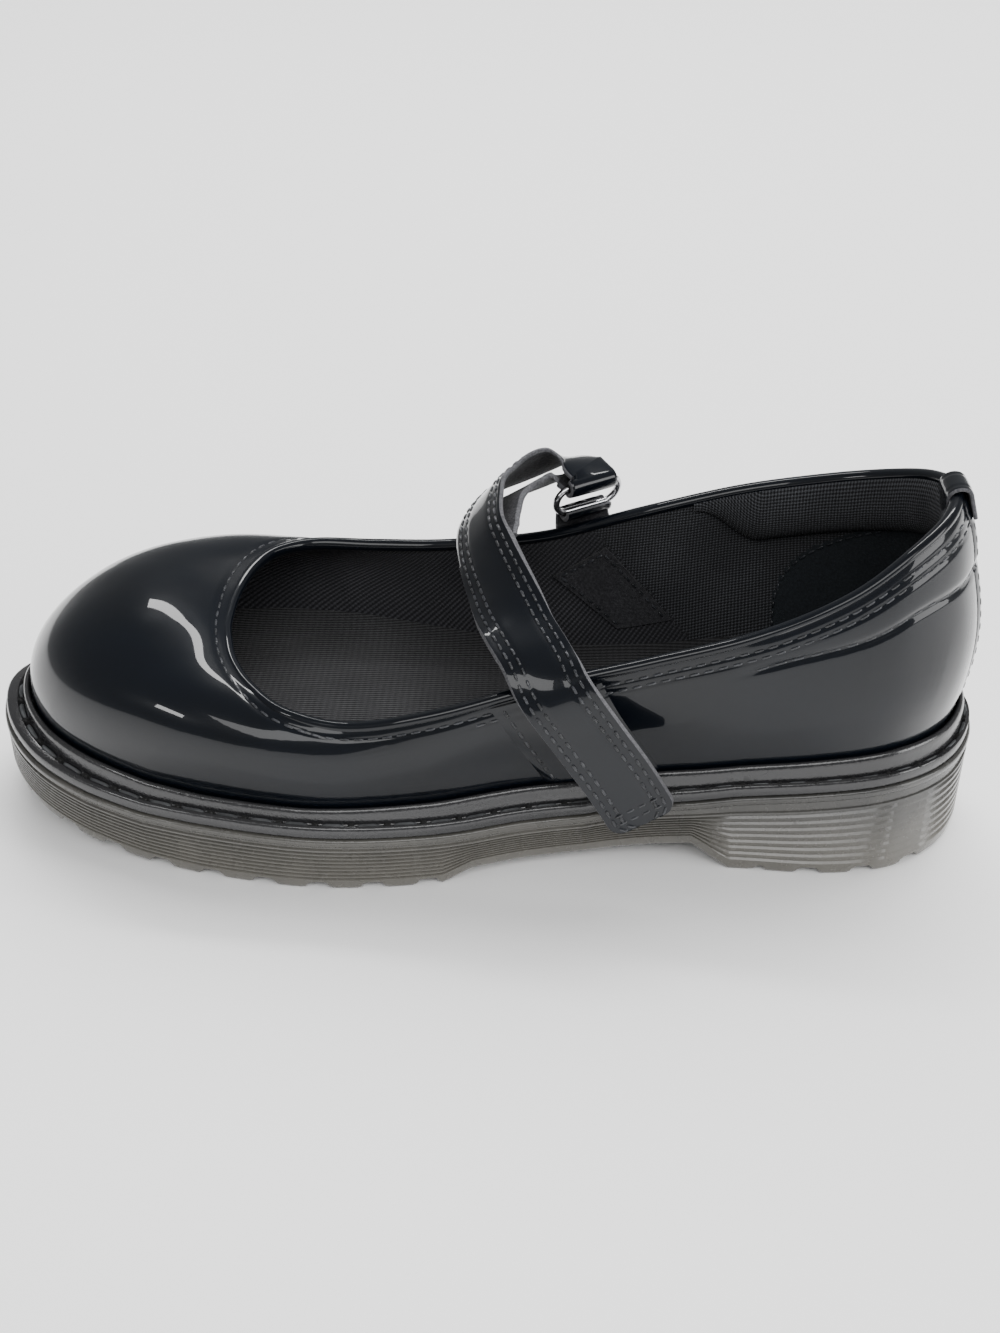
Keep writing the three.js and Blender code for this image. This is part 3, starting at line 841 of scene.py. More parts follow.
@dataclass(frozen=True)
class Sole:
    """The moulded outsole: ribbed wall, plain band, lipped ridge, edge lugs and a barred tread."""

    columns: int = 832
    lip: Section = (
        (0.9, 0), (0.45, 0.05), (0.1, 0.35), (0, 0.8), (0.02, 1.5), (0.25, 2), (0.75, 2.3), (0.7, 2.8),
    )
    ribs: int = 8
    rib_start: Section = ((0.62, 0.35), (0.2, 0.1), (0.12, -0.3))
    rib: Section = ((0.15, 0.65), (0.35, 0.65), (0.6, 0.2), (0.95, 0.2))
    rib_drop: float = 3.2
    rib_heel_drop: float = 1.6
    rib_foot: float = 2.6
    foot_edge: Section = ((0.35, 1.7), (0.5, 0.8), (0.75, 0.3), (1.3, 0.0))
    rim: tuple[float, ...] = (3.0, 5.0, 7.0)
    lug_length: float = 13.5
    lug_start: float = 0.35
    lug_spans: tuple[tuple[float, ...], ...] = ((-119, -112, -7, -2), (68, 73, 112, 118))
    notch_width: float = 5.0
    notch_height: float = 2.2
    bar_pitch: float = 10.5
    bar_gap: float = 3.0
    bar_height: float = 1.5
    bar_inset: float = 8.0
    bar_spans: tuple[tuple[float, ...], ...] = ((-100, -94, -10, -6), (66, 69, 118, 122))
    bar_parts: tuple[float, ...] = (0.0, 0.06, 0.12, 0.2, 0.4, 0.6, 0.8, 0.94, 1.0)

    def notch(self, form: ShoeForm, u: Array) -> Array:
        """How much of a notch stands at each place round the edge, from 0 to 1.

        Args:
            form: The shoe's form.
            u: Places round the shoe.

        Returns:
            One number for each place.
        """
        points = form.outline(u, 0.0)
        run = lengths_along(points)
        phase = np.abs((run / self.lug_length + self.lug_start) % 1 - 0.5) * self.lug_length
        mark = ease(self.notch_width / 2 + 1.3, self.notch_width / 2 - 0.7, phase)
        return mark * between(self.lug_spans, points[:, 0])

    def bars(self, x: Array) -> Array:
        """How much of a tread groove stands at each length, from 0 to 1."""
        phase = np.abs((x / self.bar_pitch) % 1 - 0.5) * self.bar_pitch
        return ease(self.bar_gap / 2 + 0.3, self.bar_gap / 2 - 0.4, phase) * between(self.bar_spans, x)

    def profile(self, form: ShoeForm, u: Array) -> Array:
        """The section at every place, from the platform's middle round to the underside's middle.

        Args:
            form: The shoe's form.
            u: Places round the shoe.

        Returns:
            Points of shape (places, rows, 3).
        """
        x = form.around("x", u)
        top, bottom = form.level("ridge", x), form.level("tread", x)
        platform = np.maximum(top, form.level("footbed", x) - FOOTBED_DROP)
        inner = form.level("inset", x) + UPPER_WALL + 0.7
        rib_top = top - self.rib_drop - self.rib_heel_drop * ease(30, 80, x)
        first_rib = rib_top - 0.4
        rib_height = (first_rib - bottom - self.rib_foot) / self.ribs
        raised = bottom + self.notch_height * self.notch(form, u)
        bars = self.bars(x) * self.bar_height

        def middle(inset: float | Array, part: float, z: Array) -> Array:
            """The section's line towards the same place on the other side."""
            here, there = form.outline(u, inset), form.outline(form.count - u, inset)
            return np.dstack([*(here * (1 - part / 2) + there * part / 2)[:, :2].T, z])[0]

        rows = [middle(inner, part, platform) for part in (1.0, 0.5, 0.0)]
        rows += [form.outline(u, inner, top)]
        rows += [form.outline(u, inset, top - drop) for inset, drop in self.lip]
        rows += [form.outline(u, inset, rib_top + rise) for inset, rise in self.rib_start]
        for k in range(self.ribs):
            rows += [form.outline(u, inset, first_rib - rib_height * (k + part)) for part, inset in self.rib]
        for inset, rise in self.foot_edge:
            rows.append(form.outline(u, inset, np.maximum(bottom + rise, raised)))
        rows += [form.outline(u, inset, raised) for inset in self.rim]
        for part in self.bar_parts:
            cut = bars if 0.1 < part < 0.9 else 0.0
            rows.append(middle(self.bar_inset, part, bottom + cut))
        return np.stack(rows, 1)

    def build(self, form: ShoeForm, finishes: Wardrobe) -> None:
        """Makes the outsole.

        Args:
            form: The shoe's form.
            finishes: The finishes.
        """
        u = np.arange(self.columns) * form.count / self.columns
        shell = Shell.grid(self.profile(form, u), close_rows=True)
        shell.piece(form, "sole_unit", Slot.SOLE, [finishes.sole], ["outsole"], crease=38)


@dataclass(frozen=True)
class Welt:
    """The stitched welt: a band, a channel with its thread, and a raised bead."""

    columns: int = 624
    bead: Section = (
        (0, 0.95), (0.12, 0.5), (0.4, 0.14), (0.75, 0), (1.1, 0.1), (1.45, 0.42), (1.7, 0.95), (1.85, 1.7),
    )
    channel: Section = ((2, 2.9), (2.15, 2.55), (2.45, 2.4), (3, 2.4), (3.3, 2.6), (3.45, 3.05), (3.65, 3.3))
    shoulder: Section = ((1.7, 3.25), (1.25, 3.1), (0.95, 2.75), (0.8, 2.2), (0.72, 1.4))
    clearance: float = 0.35
    thread: Stitches = Stitches(8.65, 5.6, 0.62, 0.1)
    # Dark capsules sunk between the stitches: painted shade of the needle holes.
    hole_shade: Stitches = Stitches(8.65, 1.7, 0.85, 0.35)
    thread_inset: float = 2.72
    thread_rise: float = 2.55

    def build(self, form: ShoeForm, finishes: Wardrobe) -> None:
        """Makes the welt and its thread.

        Args:
            form: The shoe's form.
            finishes: The finishes.
        """
        u = np.arange(self.columns) * form.count / self.columns
        x = form.around("x", u)
        ridge, bead = form.level("ridge", x), form.level("bead", x)
        inner = form.level("inset", x) - self.clearance
        rows = [form.outline(u, inset, ridge + self.clearance) for inset in (0.8, inner)]
        rows += [form.outline(u, inner - back, bead - drop) for back, drop in self.bead]
        rows += [form.outline(u, inner - back, ridge + rise) for back, rise in self.channel]
        rows += [form.outline(u, inset, ridge + rise) for inset, rise in self.shoulder]
        shell = Shell.grid(np.stack(rows, 1), close_rows=True, close_columns=True)
        shell.piece(form, "welt_strip", Slot.WELT, [finishes.welt], ["welt"], crease=50)
        path = form.outline(u, inner - self.thread_inset, ridge + self.thread_rise)
        tilt = unit(form.outward(u) * 0.5 + np.array([0, 0, 1.0]))
        row = self.thread.along(path, tilt, closed=True)
        row.piece(form, "welt_stitching", Slot.WELT, [finishes.welt_thread])
        # The needle holes between the stitches are near-black capsules: painted shade in place of real
        # recesses.
        half = round(self.thread.pitch / 2 / np.linalg.norm(path[1] - path[0]))
        hole_shades = self.hole_shade.along(np.roll(path, half, 0), np.roll(tilt, half, 0), closed=True)
        hole_shades.piece(form, "welt_hole_shades", Slot.WELT, [finishes.hole_shade])


@dataclass(frozen=True)
class Crease:
    """A soft trough (or a ridge, where depth is negative) in the upper."""

    start: tuple[float, float]
    end: tuple[float, float]
    width: float
    depth: float

    SAMPLES = 15

    def lift(self, form: ShoeForm, points: Array) -> Array:
        """How far the trough moves each point outwards.

        Args:
            form: The shoe's form.
            points: Points on the upper.

        Returns:
            Distances in millimetres.
        """
        t = np.linspace(0, 1, self.SAMPLES)
        u, v = (self.start[k] + (self.end[k] - self.start[k]) * t for k in (0, 1))
        line = form.wall(u, v)
        gaps = np.linalg.norm(points[..., None, :] - line, axis=-1)
        fade = np.sin(np.pi * np.clip(gaps.argmin(-1) / (self.SAMPLES - 1), 0.08, 0.92))
        return -self.depth * fade * np.exp(-((gaps.min(-1) / self.width) ** 2))


@dataclass(frozen=True)
class Upper:
    """The lasted patent upper with its creases, padded collar, rolled edge and stitching."""

    columns: int = 520
    rows: int = 64
    inner_rows: int = 16
    edge_radius: float = 1.7
    edge_sink: float = 0.7
    first_row: float = 3.4
    second_row: float = 5.4
    second_row_span: tuple[float, ...] = (6.2, 6.8, 19.2, 19.8)
    groove_depth: float = 0.22
    groove_width: float = 0.6
    pad_span: tuple[float, ...] = (8.7, 9.3, 16.7, 17.3)
    pad_swell: float = 1.0
    seam_depth: float = 0.55
    seam_width: float = 0.9
    seam_stitch: Stitches = Stitches(4.2, 3.2, 0.34, 0.22)
    landing_front: tuple[float, float] = (7.2, -0.72)
    landing_width: float = 1.05
    landing_rise: float = 0.55
    landing_seams: tuple[int, ...] = (2, 8)
    creases: tuple[Crease, ...] = (
        Crease((4.6, 0.25), (5.6, 0.85), 7.0, 0.35),
        Crease((5.7, 0.2), (6.6, 0.8), 6.0, -0.25),
        Crease((20.8, 0.25), (20.2, 0.85), 8.0, 0.3),
        Crease((3.4, 0.45), (4.8, 0.65), 8.0, 0.25),
        Crease((22.4, 0.4), (21.4, 0.7), 8.0, 0.25),
        Crease((8.2, 0.35), (9.6, 0.5), 8.0, 0.35),
        Crease((10.2, 0.55), (11.6, 0.35), 8.0, 0.4),
        Crease((16.6, 0.35), (15.2, 0.55), 8.0, 0.4),
        Crease((18.6, 0.5), (17.6, 0.3), 7.0, 0.25),
    )

    def padding(self, form: ShoeForm, u: Array, v: Array) -> Array:
        """The padded collar's swell and its seam, as a lift of the outside.

        Args:
            form: The shoe's form.
            u: Places round the shoe.
            v: Parts of the wall's height.

        Returns:
            Distances in millimetres.
        """
        below = (1 - v) * form.height(u)
        seam = form.collar_seam(u)
        part = np.clip(below / seam, 0, 1)
        swell = self.pad_swell * np.sin(np.pi * part) ** 0.8 * (part < 1)
        trough = self.seam_depth * np.exp(-(((below - seam) / self.seam_width) ** 2))
        return between([self.pad_span], u) * (swell - trough)

    def grooves(self, form: ShoeForm, u: Array, v: Array) -> Array:
        """The shallow troughs that the top stitching pulls.

        Args:
            form: The shoe's form.
            u: Places round the shoe.
            v: Parts of the wall's height.

        Returns:
            Distances in millimetres.
        """
        below = (1 - v) * form.height(u)
        first, second = (
            np.exp(-(((below - row) / self.groove_width) ** 2)) for row in (self.first_row, self.second_row)
        )
        return -self.groove_depth * (first + between([self.second_row_span], u) * second)

    def outside(self, form: ShoeForm, u: Array, v: Array) -> Array:
        """The finished outside of the upper.

        Args:
            form: The shoe's form.
            u: Places round the shoe.
            v: Parts of the wall's height.

        Returns:
            Points with a last axis of three.
        """
        points = form.wall(u, v)
        lift = self.padding(form, u, v) + self.grooves(form, u, v)
        for crease in self.creases:
            lift = lift + crease.lift(form, points)
        hold = ease(0.0, 0.12, v) * ease(1.0, 0.97, v)
        return points + form.normal(u, v) * (lift * hold)[..., None]

    def seam(self, form: ShoeForm, u: Array, below: Array | float) -> tuple[Array, Array]:
        """A line on the outside a distance below the edge, and its normals."""
        v = form.below_edge(u, below)
        return self.outside(form, u, v), form.normal(u, v)

    def build(self, form: ShoeForm, finishes: Wardrobe) -> None:
        """Makes the upper, its rolled edge and its stitching.

        Args:
            form: The shoe's form.
            finishes: The finishes.
        """
        u = np.arange(self.columns) * form.count / self.columns
        v = 1 - (1 - np.linspace(0, 1, self.rows)) ** 1.25
        x = form.around("x", u)
        floor = form.level("ridge", x) + 0.35
        outer = self.outside(form, u[:, None], v[None, :])
        inner = form.skin(u[:, None], np.linspace(1, 0, self.inner_rows)[None, :], -UPPER_WALL)
        foot = form.outline(u, form.level("inset", x), floor)[:, None]
        back = form.outline(u, form.level("inset", x) + UPPER_WALL, floor)[:, None]
        shell = Shell.grid(np.concatenate([foot, outer, inner, back], 1), close_rows=True, close_columns=True)
        shell.piece(form, "patent_upper", Slot.PATENT, [finishes.patent], ["upper"], crease=60)
        self.roll(form, finishes, u)
        self.sew(form, finishes)

    def roll(self, form: ShoeForm, finishes: Wardrobe, u: Array) -> None:
        """Makes the rolled edge round the throat and collar.

        Args:
            form: The shoe's form.
            finishes: The finishes.
            u: Places round the shoe.
        """
        n = form.normal(u, np.ones_like(u))
        up = unit(form.wall(u, np.ones_like(u)) - form.wall(u, np.full_like(u, 0.97)))
        middle = form.wall(u, np.ones_like(u)) - n * (UPPER_WALL / 2) - up * self.edge_sink
        turn = circle(ROUND_SIDES)
        across = np.cos(turn)[None, :, None] * n[:, None] * self.edge_radius
        rise = np.sin(turn)[None, :, None] * up[:, None] * (self.edge_radius - 0.2)
        shell = Shell.grid(middle[:, None] + across + rise, close_rows=True, close_columns=True)
        shell.piece(form, "rolled_edge", Slot.PATENT, [finishes.patent], crease=80)

    def landing(self, form: ShoeForm, finishes: Wardrobe) -> list[Shell]:
        """Makes the raised panel where the strap lands, and gives its stitching.

        Args:
            form: The shoe's form.
            finishes: The finishes.

        Returns:
            The stitch rows.
        """
        across = np.linspace(0, 1, 22)[None, :]
        v = np.linspace(0.03, 0.93, 40)[:, None]
        u = self.landing_front[0] + self.landing_front[1] * v + across * self.landing_width
        v = np.broadcast_to(v, u.shape)
        edge = 1 - np.abs(2 * across - 1) ** 12
        normal = form.normal(u, v)
        base = self.outside(form, u, v)
        face = base + normal * (0.1 + self.landing_rise * edge)[..., None]
        back = base - normal * 0.4
        shell = Shell.plate(face, back)
        shell.piece(form, "landing_panel", Slot.PATENT, [finishes.patent], crease=50)
        return [Stitches().along(face[1:-1, i], normal[1:-1, i]) for i in self.landing_seams]

    def sew(self, form: ShoeForm, finishes: Wardrobe) -> None:
        """Makes the stitch rows of the upper.

        Args:
            form: The shoe's form.
            finishes: The finishes.
        """
        row = Stitches()
        whole = np.linspace(0, form.count, 900)
        sides = np.linspace(6.4, 19.6, 520)
        collar = np.linspace(9.0, 17.0, 380)
        rows = [row.along(*self.seam(form, whole, self.first_row))]
        rows.append(row.along(*self.seam(form, sides, self.second_row)))
        rows.append(self.seam_stitch.along(*self.seam(form, collar, form.collar_seam(collar))))
        rows += self.landing(form, finishes)
        Shell.join(rows).piece(form, "upper_stitching", Slot.PATENT, [finishes.thread])


@dataclass(frozen=True)
class Inside:
    """What shows inside: the lining, the heel grip, the ribbed footbed and the padded collar."""

    lining_columns: int = 364
    lining_rows: int = 40
    lining_gap: float = 0.12
    lining_back: float = 0.5
    grip_reach: float = 3.5
    grip_top: float = 0.75
    mesh_reach: float = 4.286
    mesh_slant: float = 1.3
    patch_corners: Section = ((18.88, 0.67), (18.34, 0.82), (17.6, 0.25), (18.15, 0.25))
    patch_thickness: float = 0.75
    row_stitch: Stitches = Stitches(2.6, 1.8, 0.3, 0.0)
    bed_thickness: float = 2.5
    pad_ends: tuple[float, float] = (8.55, 17.45)
    pad_depth: float = 15.0
    pad_swell: float = 3.5
    pad_clearance: float = 0.5

    def build(self, form: ShoeForm, finishes: Wardrobe) -> None:
        """Makes the inside's pieces.

        Args:
            form: The shoe's form.
            finishes: The finishes.
        """
        self.line(form, finishes)
        self.footbed(form, finishes)
        self.collar(form, finishes)

    def line(self, form: ShoeForm, finishes: Wardrobe) -> None:
        """Makes the lining: twill in front, knitted mesh at the quarters and a smooth heel grip.

        Args:
            form: The shoe's form.
            finishes: The finishes.
        """
        u = np.linspace(0, form.count, self.lining_columns + 1)
        v = np.linspace(0.06, 0.985, self.lining_rows)
        front = form.skin(u[:, None], v[None, :], -UPPER_WALL - self.lining_gap)
        back = form.skin(u[:, None], v[None, ::-1], -UPPER_WALL + self.lining_back)
        shell = Shell.grid(np.concatenate([front, back], 1), close_columns=True)
        middle = form.skin(u, np.full_like(u, 0.7), -UPPER_WALL)
        run = lengths_along(middle)
        rise = np.r_[v, v[::-1]][None, :] * form.height(u)[:, None]
        shell.uv = np.stack([np.broadcast_to(run[:, None], rise.shape), rise], -1).reshape(-1, 2)
        columns = 2 * self.lining_rows
        face = np.arange(self.lining_columns * columns)
        at = (face // columns + 0.5) / self.lining_columns * form.count
        low = (face % columns) / self.lining_rows
        low = v[0] + (v[-1] - v[0]) * np.where(low > 1, 2 - low, low)
        heel = np.abs(at - BACK_SEAM) < self.grip_edge(low)
        quarter = np.abs(at - BACK_SEAM) < self.mesh_reach + self.mesh_slant * low
        shell.finish = np.where(heel, 2, np.where(quarter, 1, 0))
        cloths = [finishes.twill, finishes.mesh, finishes.grip]
        shell.piece(form, "lining", Slot.LINING, cloths, crease=60)
        rows = []
        for side in (-1, 1):
            t = self.grip_top * np.sin(np.linspace(0.1, math.pi / 2 - 0.02, 120))
            path = BACK_SEAM + side * self.grip_edge(t)
            points = form.skin(path, t, -UPPER_WALL - 0.2)
            rows.append(Stitches(2.6, 1.8, 0.26, 0.0).along(points, -form.normal(path, t)))
        rows += self.patch(form, finishes)
        Shell.join(rows).piece(form, "lining_stitching", Slot.LINING, [finishes.thread])

    def grip_edge(self, v: Array) -> Array:
        """How far round from the back seam the heel grip reaches, at each height."""
        return self.grip_reach * np.sqrt(np.clip(1 - (v / self.grip_top) ** 4, 0, 1))

    def patch(self, form: ShoeForm, finishes: Wardrobe) -> list[Shell]:
        """Makes the reinforcing patch behind the ring tab, and gives its stitching.

        Args:
            form: The shoe's form.
            finishes: The finishes.

        Returns:
            The stitch rows.
        """
        corners = np.array(self.patch_corners)
        a, b = np.meshgrid(np.linspace(0, 1, 24), np.linspace(0, 1, 12), indexing="ij")
        front = corners[0] * (1 - a)[..., None] + corners[3] * a[..., None]
        rear = corners[1] * (1 - a)[..., None] + corners[2] * a[..., None]
        place = front * (1 - b)[..., None] + rear * b[..., None]
        face = form.skin(place[..., 0], place[..., 1], -UPPER_WALL - self.patch_thickness)
        back = form.skin(place[..., 0], place[..., 1], -UPPER_WALL)
        shell = Shell.plate(face, back)
        shell.piece(form, "lining_patch", Slot.LINING, [finishes.backing], crease=50)
        rows = []
        for picked in (np.s_[1:-1, 1], np.s_[1:-1, 10], np.s_[1, 1:-1]):
            normal = -form.normal(*place[picked].T)
            rows.append(self.row_stitch.along(face[picked], normal))
        return rows

    def footbed(self, form: ShoeForm, finishes: Wardrobe) -> None:
        """Makes the cupped, ribbed footbed.

        Args:
            form: The shoe's form.
            finishes: The finishes.
        """
        u = np.linspace(0.001, form.count / 2 - 0.001, 200)
        edges = []
        for at in (u, form.count - u):
            rim = form.level("footbed", form.around("x", at)) + FOOTBED_CUP
            edges.append(form.skin(at, form.wall_place(at, rim), -FOOTBED_SIDE + 0.4))
        part = np.linspace(-1, 1, 61)
        across = edges[0][:, None] + (edges[1] - edges[0])[:, None] * ((part + 1) / 2)[None, :, None]
        x = across[..., 0]
        top = form.level("footbed", x) + FOOTBED_CUP * part[None, :] ** 4
        bed = np.stack([x, across[..., 1], top], -1)
        under = np.stack([x, across[..., 1], form.level("footbed", x) - self.bed_thickness], -1)
        shell = Shell.plate(bed, under)
        shell.uv = shell.points[:, :2].copy()
        shell.piece(form, "footbed", Slot.SOCK, [finishes.sock], ["insole"], crease=50)

    def collar(self, form: ShoeForm, finishes: Wardrobe) -> None:
        """Makes the padded roll round the inside of the collar.

        Args:
            form: The shoe's form.
            finishes: The finishes.
        """
        u = np.linspace(*self.pad_ends, 300)
        from_end = np.minimum(u - u[0], u[-1] - u)
        grown = 0.16 + 0.84 * ease(0.0, 0.8, from_end)
        depth, swell = self.pad_depth * grown, self.pad_swell * grown
        t = np.linspace(0, 1, 17)
        v = form.below_edge(u[:, None], depth[:, None] * (1 - t)[None, :] + 0.6)
        back = form.skin(u[:, None], v, -UPPER_WALL - 0.3)
        dome = np.sin(np.pi * np.clip(t, 0.02, 1) ** 0.85) ** 0.75
        quilt = 0.12 * np.sin(u * 9.0)[:, None] * np.sin(np.pi * t)[None, :]
        stand = self.pad_clearance + swell[:, None] * dome[None, :] + quilt
        shell = Shell.plate(back, form.skin(u[:, None], v, -UPPER_WALL - stand))
        middle = form.skin(u, np.full_like(u, 0.8), -UPPER_WALL)
        run = lengths_along(middle)
        rise = depth[:, None] * np.r_[t, t[::-1]][None, :] * 1.15
        shell.uv = np.stack([np.broadcast_to(run[:, None], rise.shape), rise], -1).reshape(-1, 2)
        pad = shell.piece(form, "collar_roll", Slot.LINING, [finishes.mesh], ["collar_pad"], crease=70)


class Path:
    """A smooth curve through points, evenly numbered from 0 to 1 at its ends."""

    def __init__(self, points: Array) -> None:
        """Keeps the points.

        Args:
            points: Points on the curve.
        """
        ends = (2 * points[:1] - points[1:2], 2 * points[-1:] - points[-2:-1])
        self.points = np.concatenate([ends[0], points, ends[1]])
        self.last = len(points) - 1

    def at(self, t: Array) -> Array:
        """Points on the curve, its speed even along each span.

        Args:
            t: Parts of the curve, from 0 to 1.

        Returns:
            The points.
        """
        t = np.clip(np.asarray(t, float), 0, 1) * self.last
        i = np.minimum(t.astype(int), self.last - 1)
        w = (t - i)[:, None]
        a, b, c, d = (self.points[i + k] for k in range(4))
        spans = (b - a, c - b, d - c)
        gap = [np.maximum(np.linalg.norm(span, axis=1, keepdims=True) ** 0.5, 1e-4) for span in spans]
        m0 = ((b - a) / gap[0] - (c - a) / (gap[0] + gap[1]) + (c - b) / gap[1]) * gap[1]
        m1 = ((c - b) / gap[1] - (d - b) / (gap[1] + gap[2]) + (d - c) / gap[2]) * gap[1]
        w2, w3 = w * w, w**3
        return (2 * w3 - 3 * w2 + 1) * b + (w3 - 2 * w2 + w) * m0 + (3 * w2 - 2 * w3) * c + (w3 - w2) * m1


@dataclass(frozen=True)
class Band:
    """A flat strip of leather with rounded edges: its section is the same kind all along."""

    middle: Array
    across: Array
    face: Array
    width: Array
    thickness: Array
    sag: Array | float = 0.0

    TOP_POINTS = 19
    UNDER_POINTS = 7
    FLAT_PART = 0.97
    EDGE = ((1.0, 0.55), (1.02, 0.0), (1.0, -0.55))
    BOW = 0.18
    TROUGH_WIDTH = 0.5

    def point(self, part: Array | float, rise: float) -> Array:
        """Points at a part of the half width and a part of the half thickness.

        Args:
            part: The part of the half width.
            rise: The part of the half thickness.

        Returns:
            One point for each section.
        """
        w = (self.width / 2 * part)[:, None]
        lift = (self.thickness / 2 * rise - self.sag * part**2)[:, None]
        return self.middle + self.across * w + self.face * lift

    def shell(
        self, dimples: Sequence[float] = (), depth: float = 0.25, sewn: int = -1, cloth_from: int = -1
    ) -> Shell:
        """The strip's shell, with stitch troughs along its face.

        Args:
            dimples: Distances in from each edge where stitching pulls the face down.
            depth: How deep that is.
            sewn: How many sections have them, or all of them where it is negative.
            cloth_from: The section after which the face is cloth too, if any.

        Returns:
            The shell, its edges and underside with their own finishes.
        """
        rows, finish = [], []
        pull = np.full(len(self.middle), depth)
        if sewn >= 0:
            pull *= ease(sewn, sewn - 8, np.arange(len(self.middle)))
        for part in np.linspace(-self.FLAT_PART, self.FLAT_PART, self.TOP_POINTS):
            inset = self.width / 2 * (1 - abs(part))
            dip = sum(np.exp(-(((inset - d) / self.TROUGH_WIDTH) ** 2)) for d in dimples)
            bow = self.BOW * (1 - part**6)
            rows.append(self.point(part, 1.0) + self.face * (bow - pull * dip)[:, None])
            finish.append(0)
        finish[-1] = 1
        for part, rise in self.EDGE:
            rows.append(self.point(part, rise))
            finish.append(1)
        for part in np.linspace(self.FLAT_PART, -self.FLAT_PART, self.UNDER_POINTS):
            rows.append(self.point(part, -1.0))
            finish.append(2)
        finish[-1] = 1
        for part, rise in self.EDGE[::-1]:
            rows.append(self.point(-part, rise))
            finish.append(1)
        shell = Shell.grid(np.stack(rows, 1), close_columns=True, cap=True)
        spans = len(self.middle) - 1
        finishes = np.tile(finish, (spans, 1))
        if cloth_from >= 0:
            finishes[cloth_from:][finishes[cloth_from:] == 0] = 2
        shell.finish = np.r_[finishes.ravel(), [1, 1]]
        run = lengths_along(self.middle)
        girth = np.linspace(0, 2 * self.width.max(), len(rows))
        shell.uv = np.stack(np.meshgrid(run, girth, indexing="ij"), -1).reshape(-1, 2)
        return shell

    def line(self, inset: float, sign: int) -> tuple[Array, Array]:
        """A line along the face a distance in from one edge, and its normals."""
        part = sign * (1 - 2 * inset / self.width)
        return self.point(part, 1.0) - self.face * 0.1, self.face


@dataclass(frozen=True)
class RingHold:
    """The wire ring, the turn of the strap round it and the tab that holds it."""

    middle: tuple[float, float, float] = (27.4, 31.6, 70.8)
    heading: float = 34.0
    lean: float = 14.0
    bar_length: float = 14.6
    opening: float = 6.0

    @property
    def bar(self) -> Array:
        """The direction of the ring's straight bars."""
        return np.array([math.cos(math.radians(self.heading)), math.sin(math.radians(self.heading)), 0.0])

    @property
    def up(self) -> Array:
        """The direction from the lower bar to the upper one.

        Returns:
            A direction one long.
        """
        lean = math.radians(self.lean)
        level = np.array([self.bar[1], -self.bar[0], 0.0])
        return level * math.sin(lean) + np.array([0, 0, math.cos(lean)])

    def bar_middle(self, upper: bool) -> Array:
        """The middle of one bar."""
        return np.array(self.middle) + self.up * ((self.opening + WIRE) / 2 * (1 if upper else -1))

    def turn(self, upper: bool, lead: Array, thickness: float) -> tuple[Array, Array]:
        """A half turn round a bar.

        Args:
            upper: Which bar.
            lead: The direction from the bar back along the strip.
            thickness: The strip's thickness.

        Returns:
            The turn's middle line and its faces.
        """
        side = unit(np.cross(self.bar, lead))
        lead = unit(np.cross(side, self.bar))
        radius = WIRE / 2 + PLY_GAP + thickness / 2
        a = np.linspace(0, np.pi, 14)[:, None]
        face = side * np.cos(a) - lead * np.sin(a)
        return self.bar_middle(upper) + face * radius, face

    def build(self, form: ShoeForm, finishes: Wardrobe) -> None:
        """Makes the ring.

        Args:
            form: The shoe's form.
            finishes: The finishes.
        """
        half = self.bar_length / 2 - 1.6
        radius = (self.opening + WIRE) / 2
        path = []
        for start, sign in ((-90, 1), (90, -1)):
            for a in np.radians(start + np.linspace(0, 180, 24)):
                path.append(self.bar * (half * sign + radius * math.cos(a)) + self.up * radius * math.sin(a))
        path = np.array(path)
        go = unit(np.roll(path, -1, 0) - np.roll(path, 1, 0))
        out = unit(np.cross(self.bar, self.up))[None, :] * np.ones_like(path)
        side = unit(np.cross(go, out))
        turn = circle(ROUND_SIDES)[None, :, None]
        section = (np.cos(turn) * out[:, None] + np.sin(turn) * side[:, None]) * WIRE / 2
        ring = np.array(self.middle) + path[:, None] + section
        shell = Shell.grid(ring, close_rows=True, close_columns=True)
        shell.piece(form, "wire_ring", Slot.METAL, [finishes.wire], ["strap_ring"], crease=80)


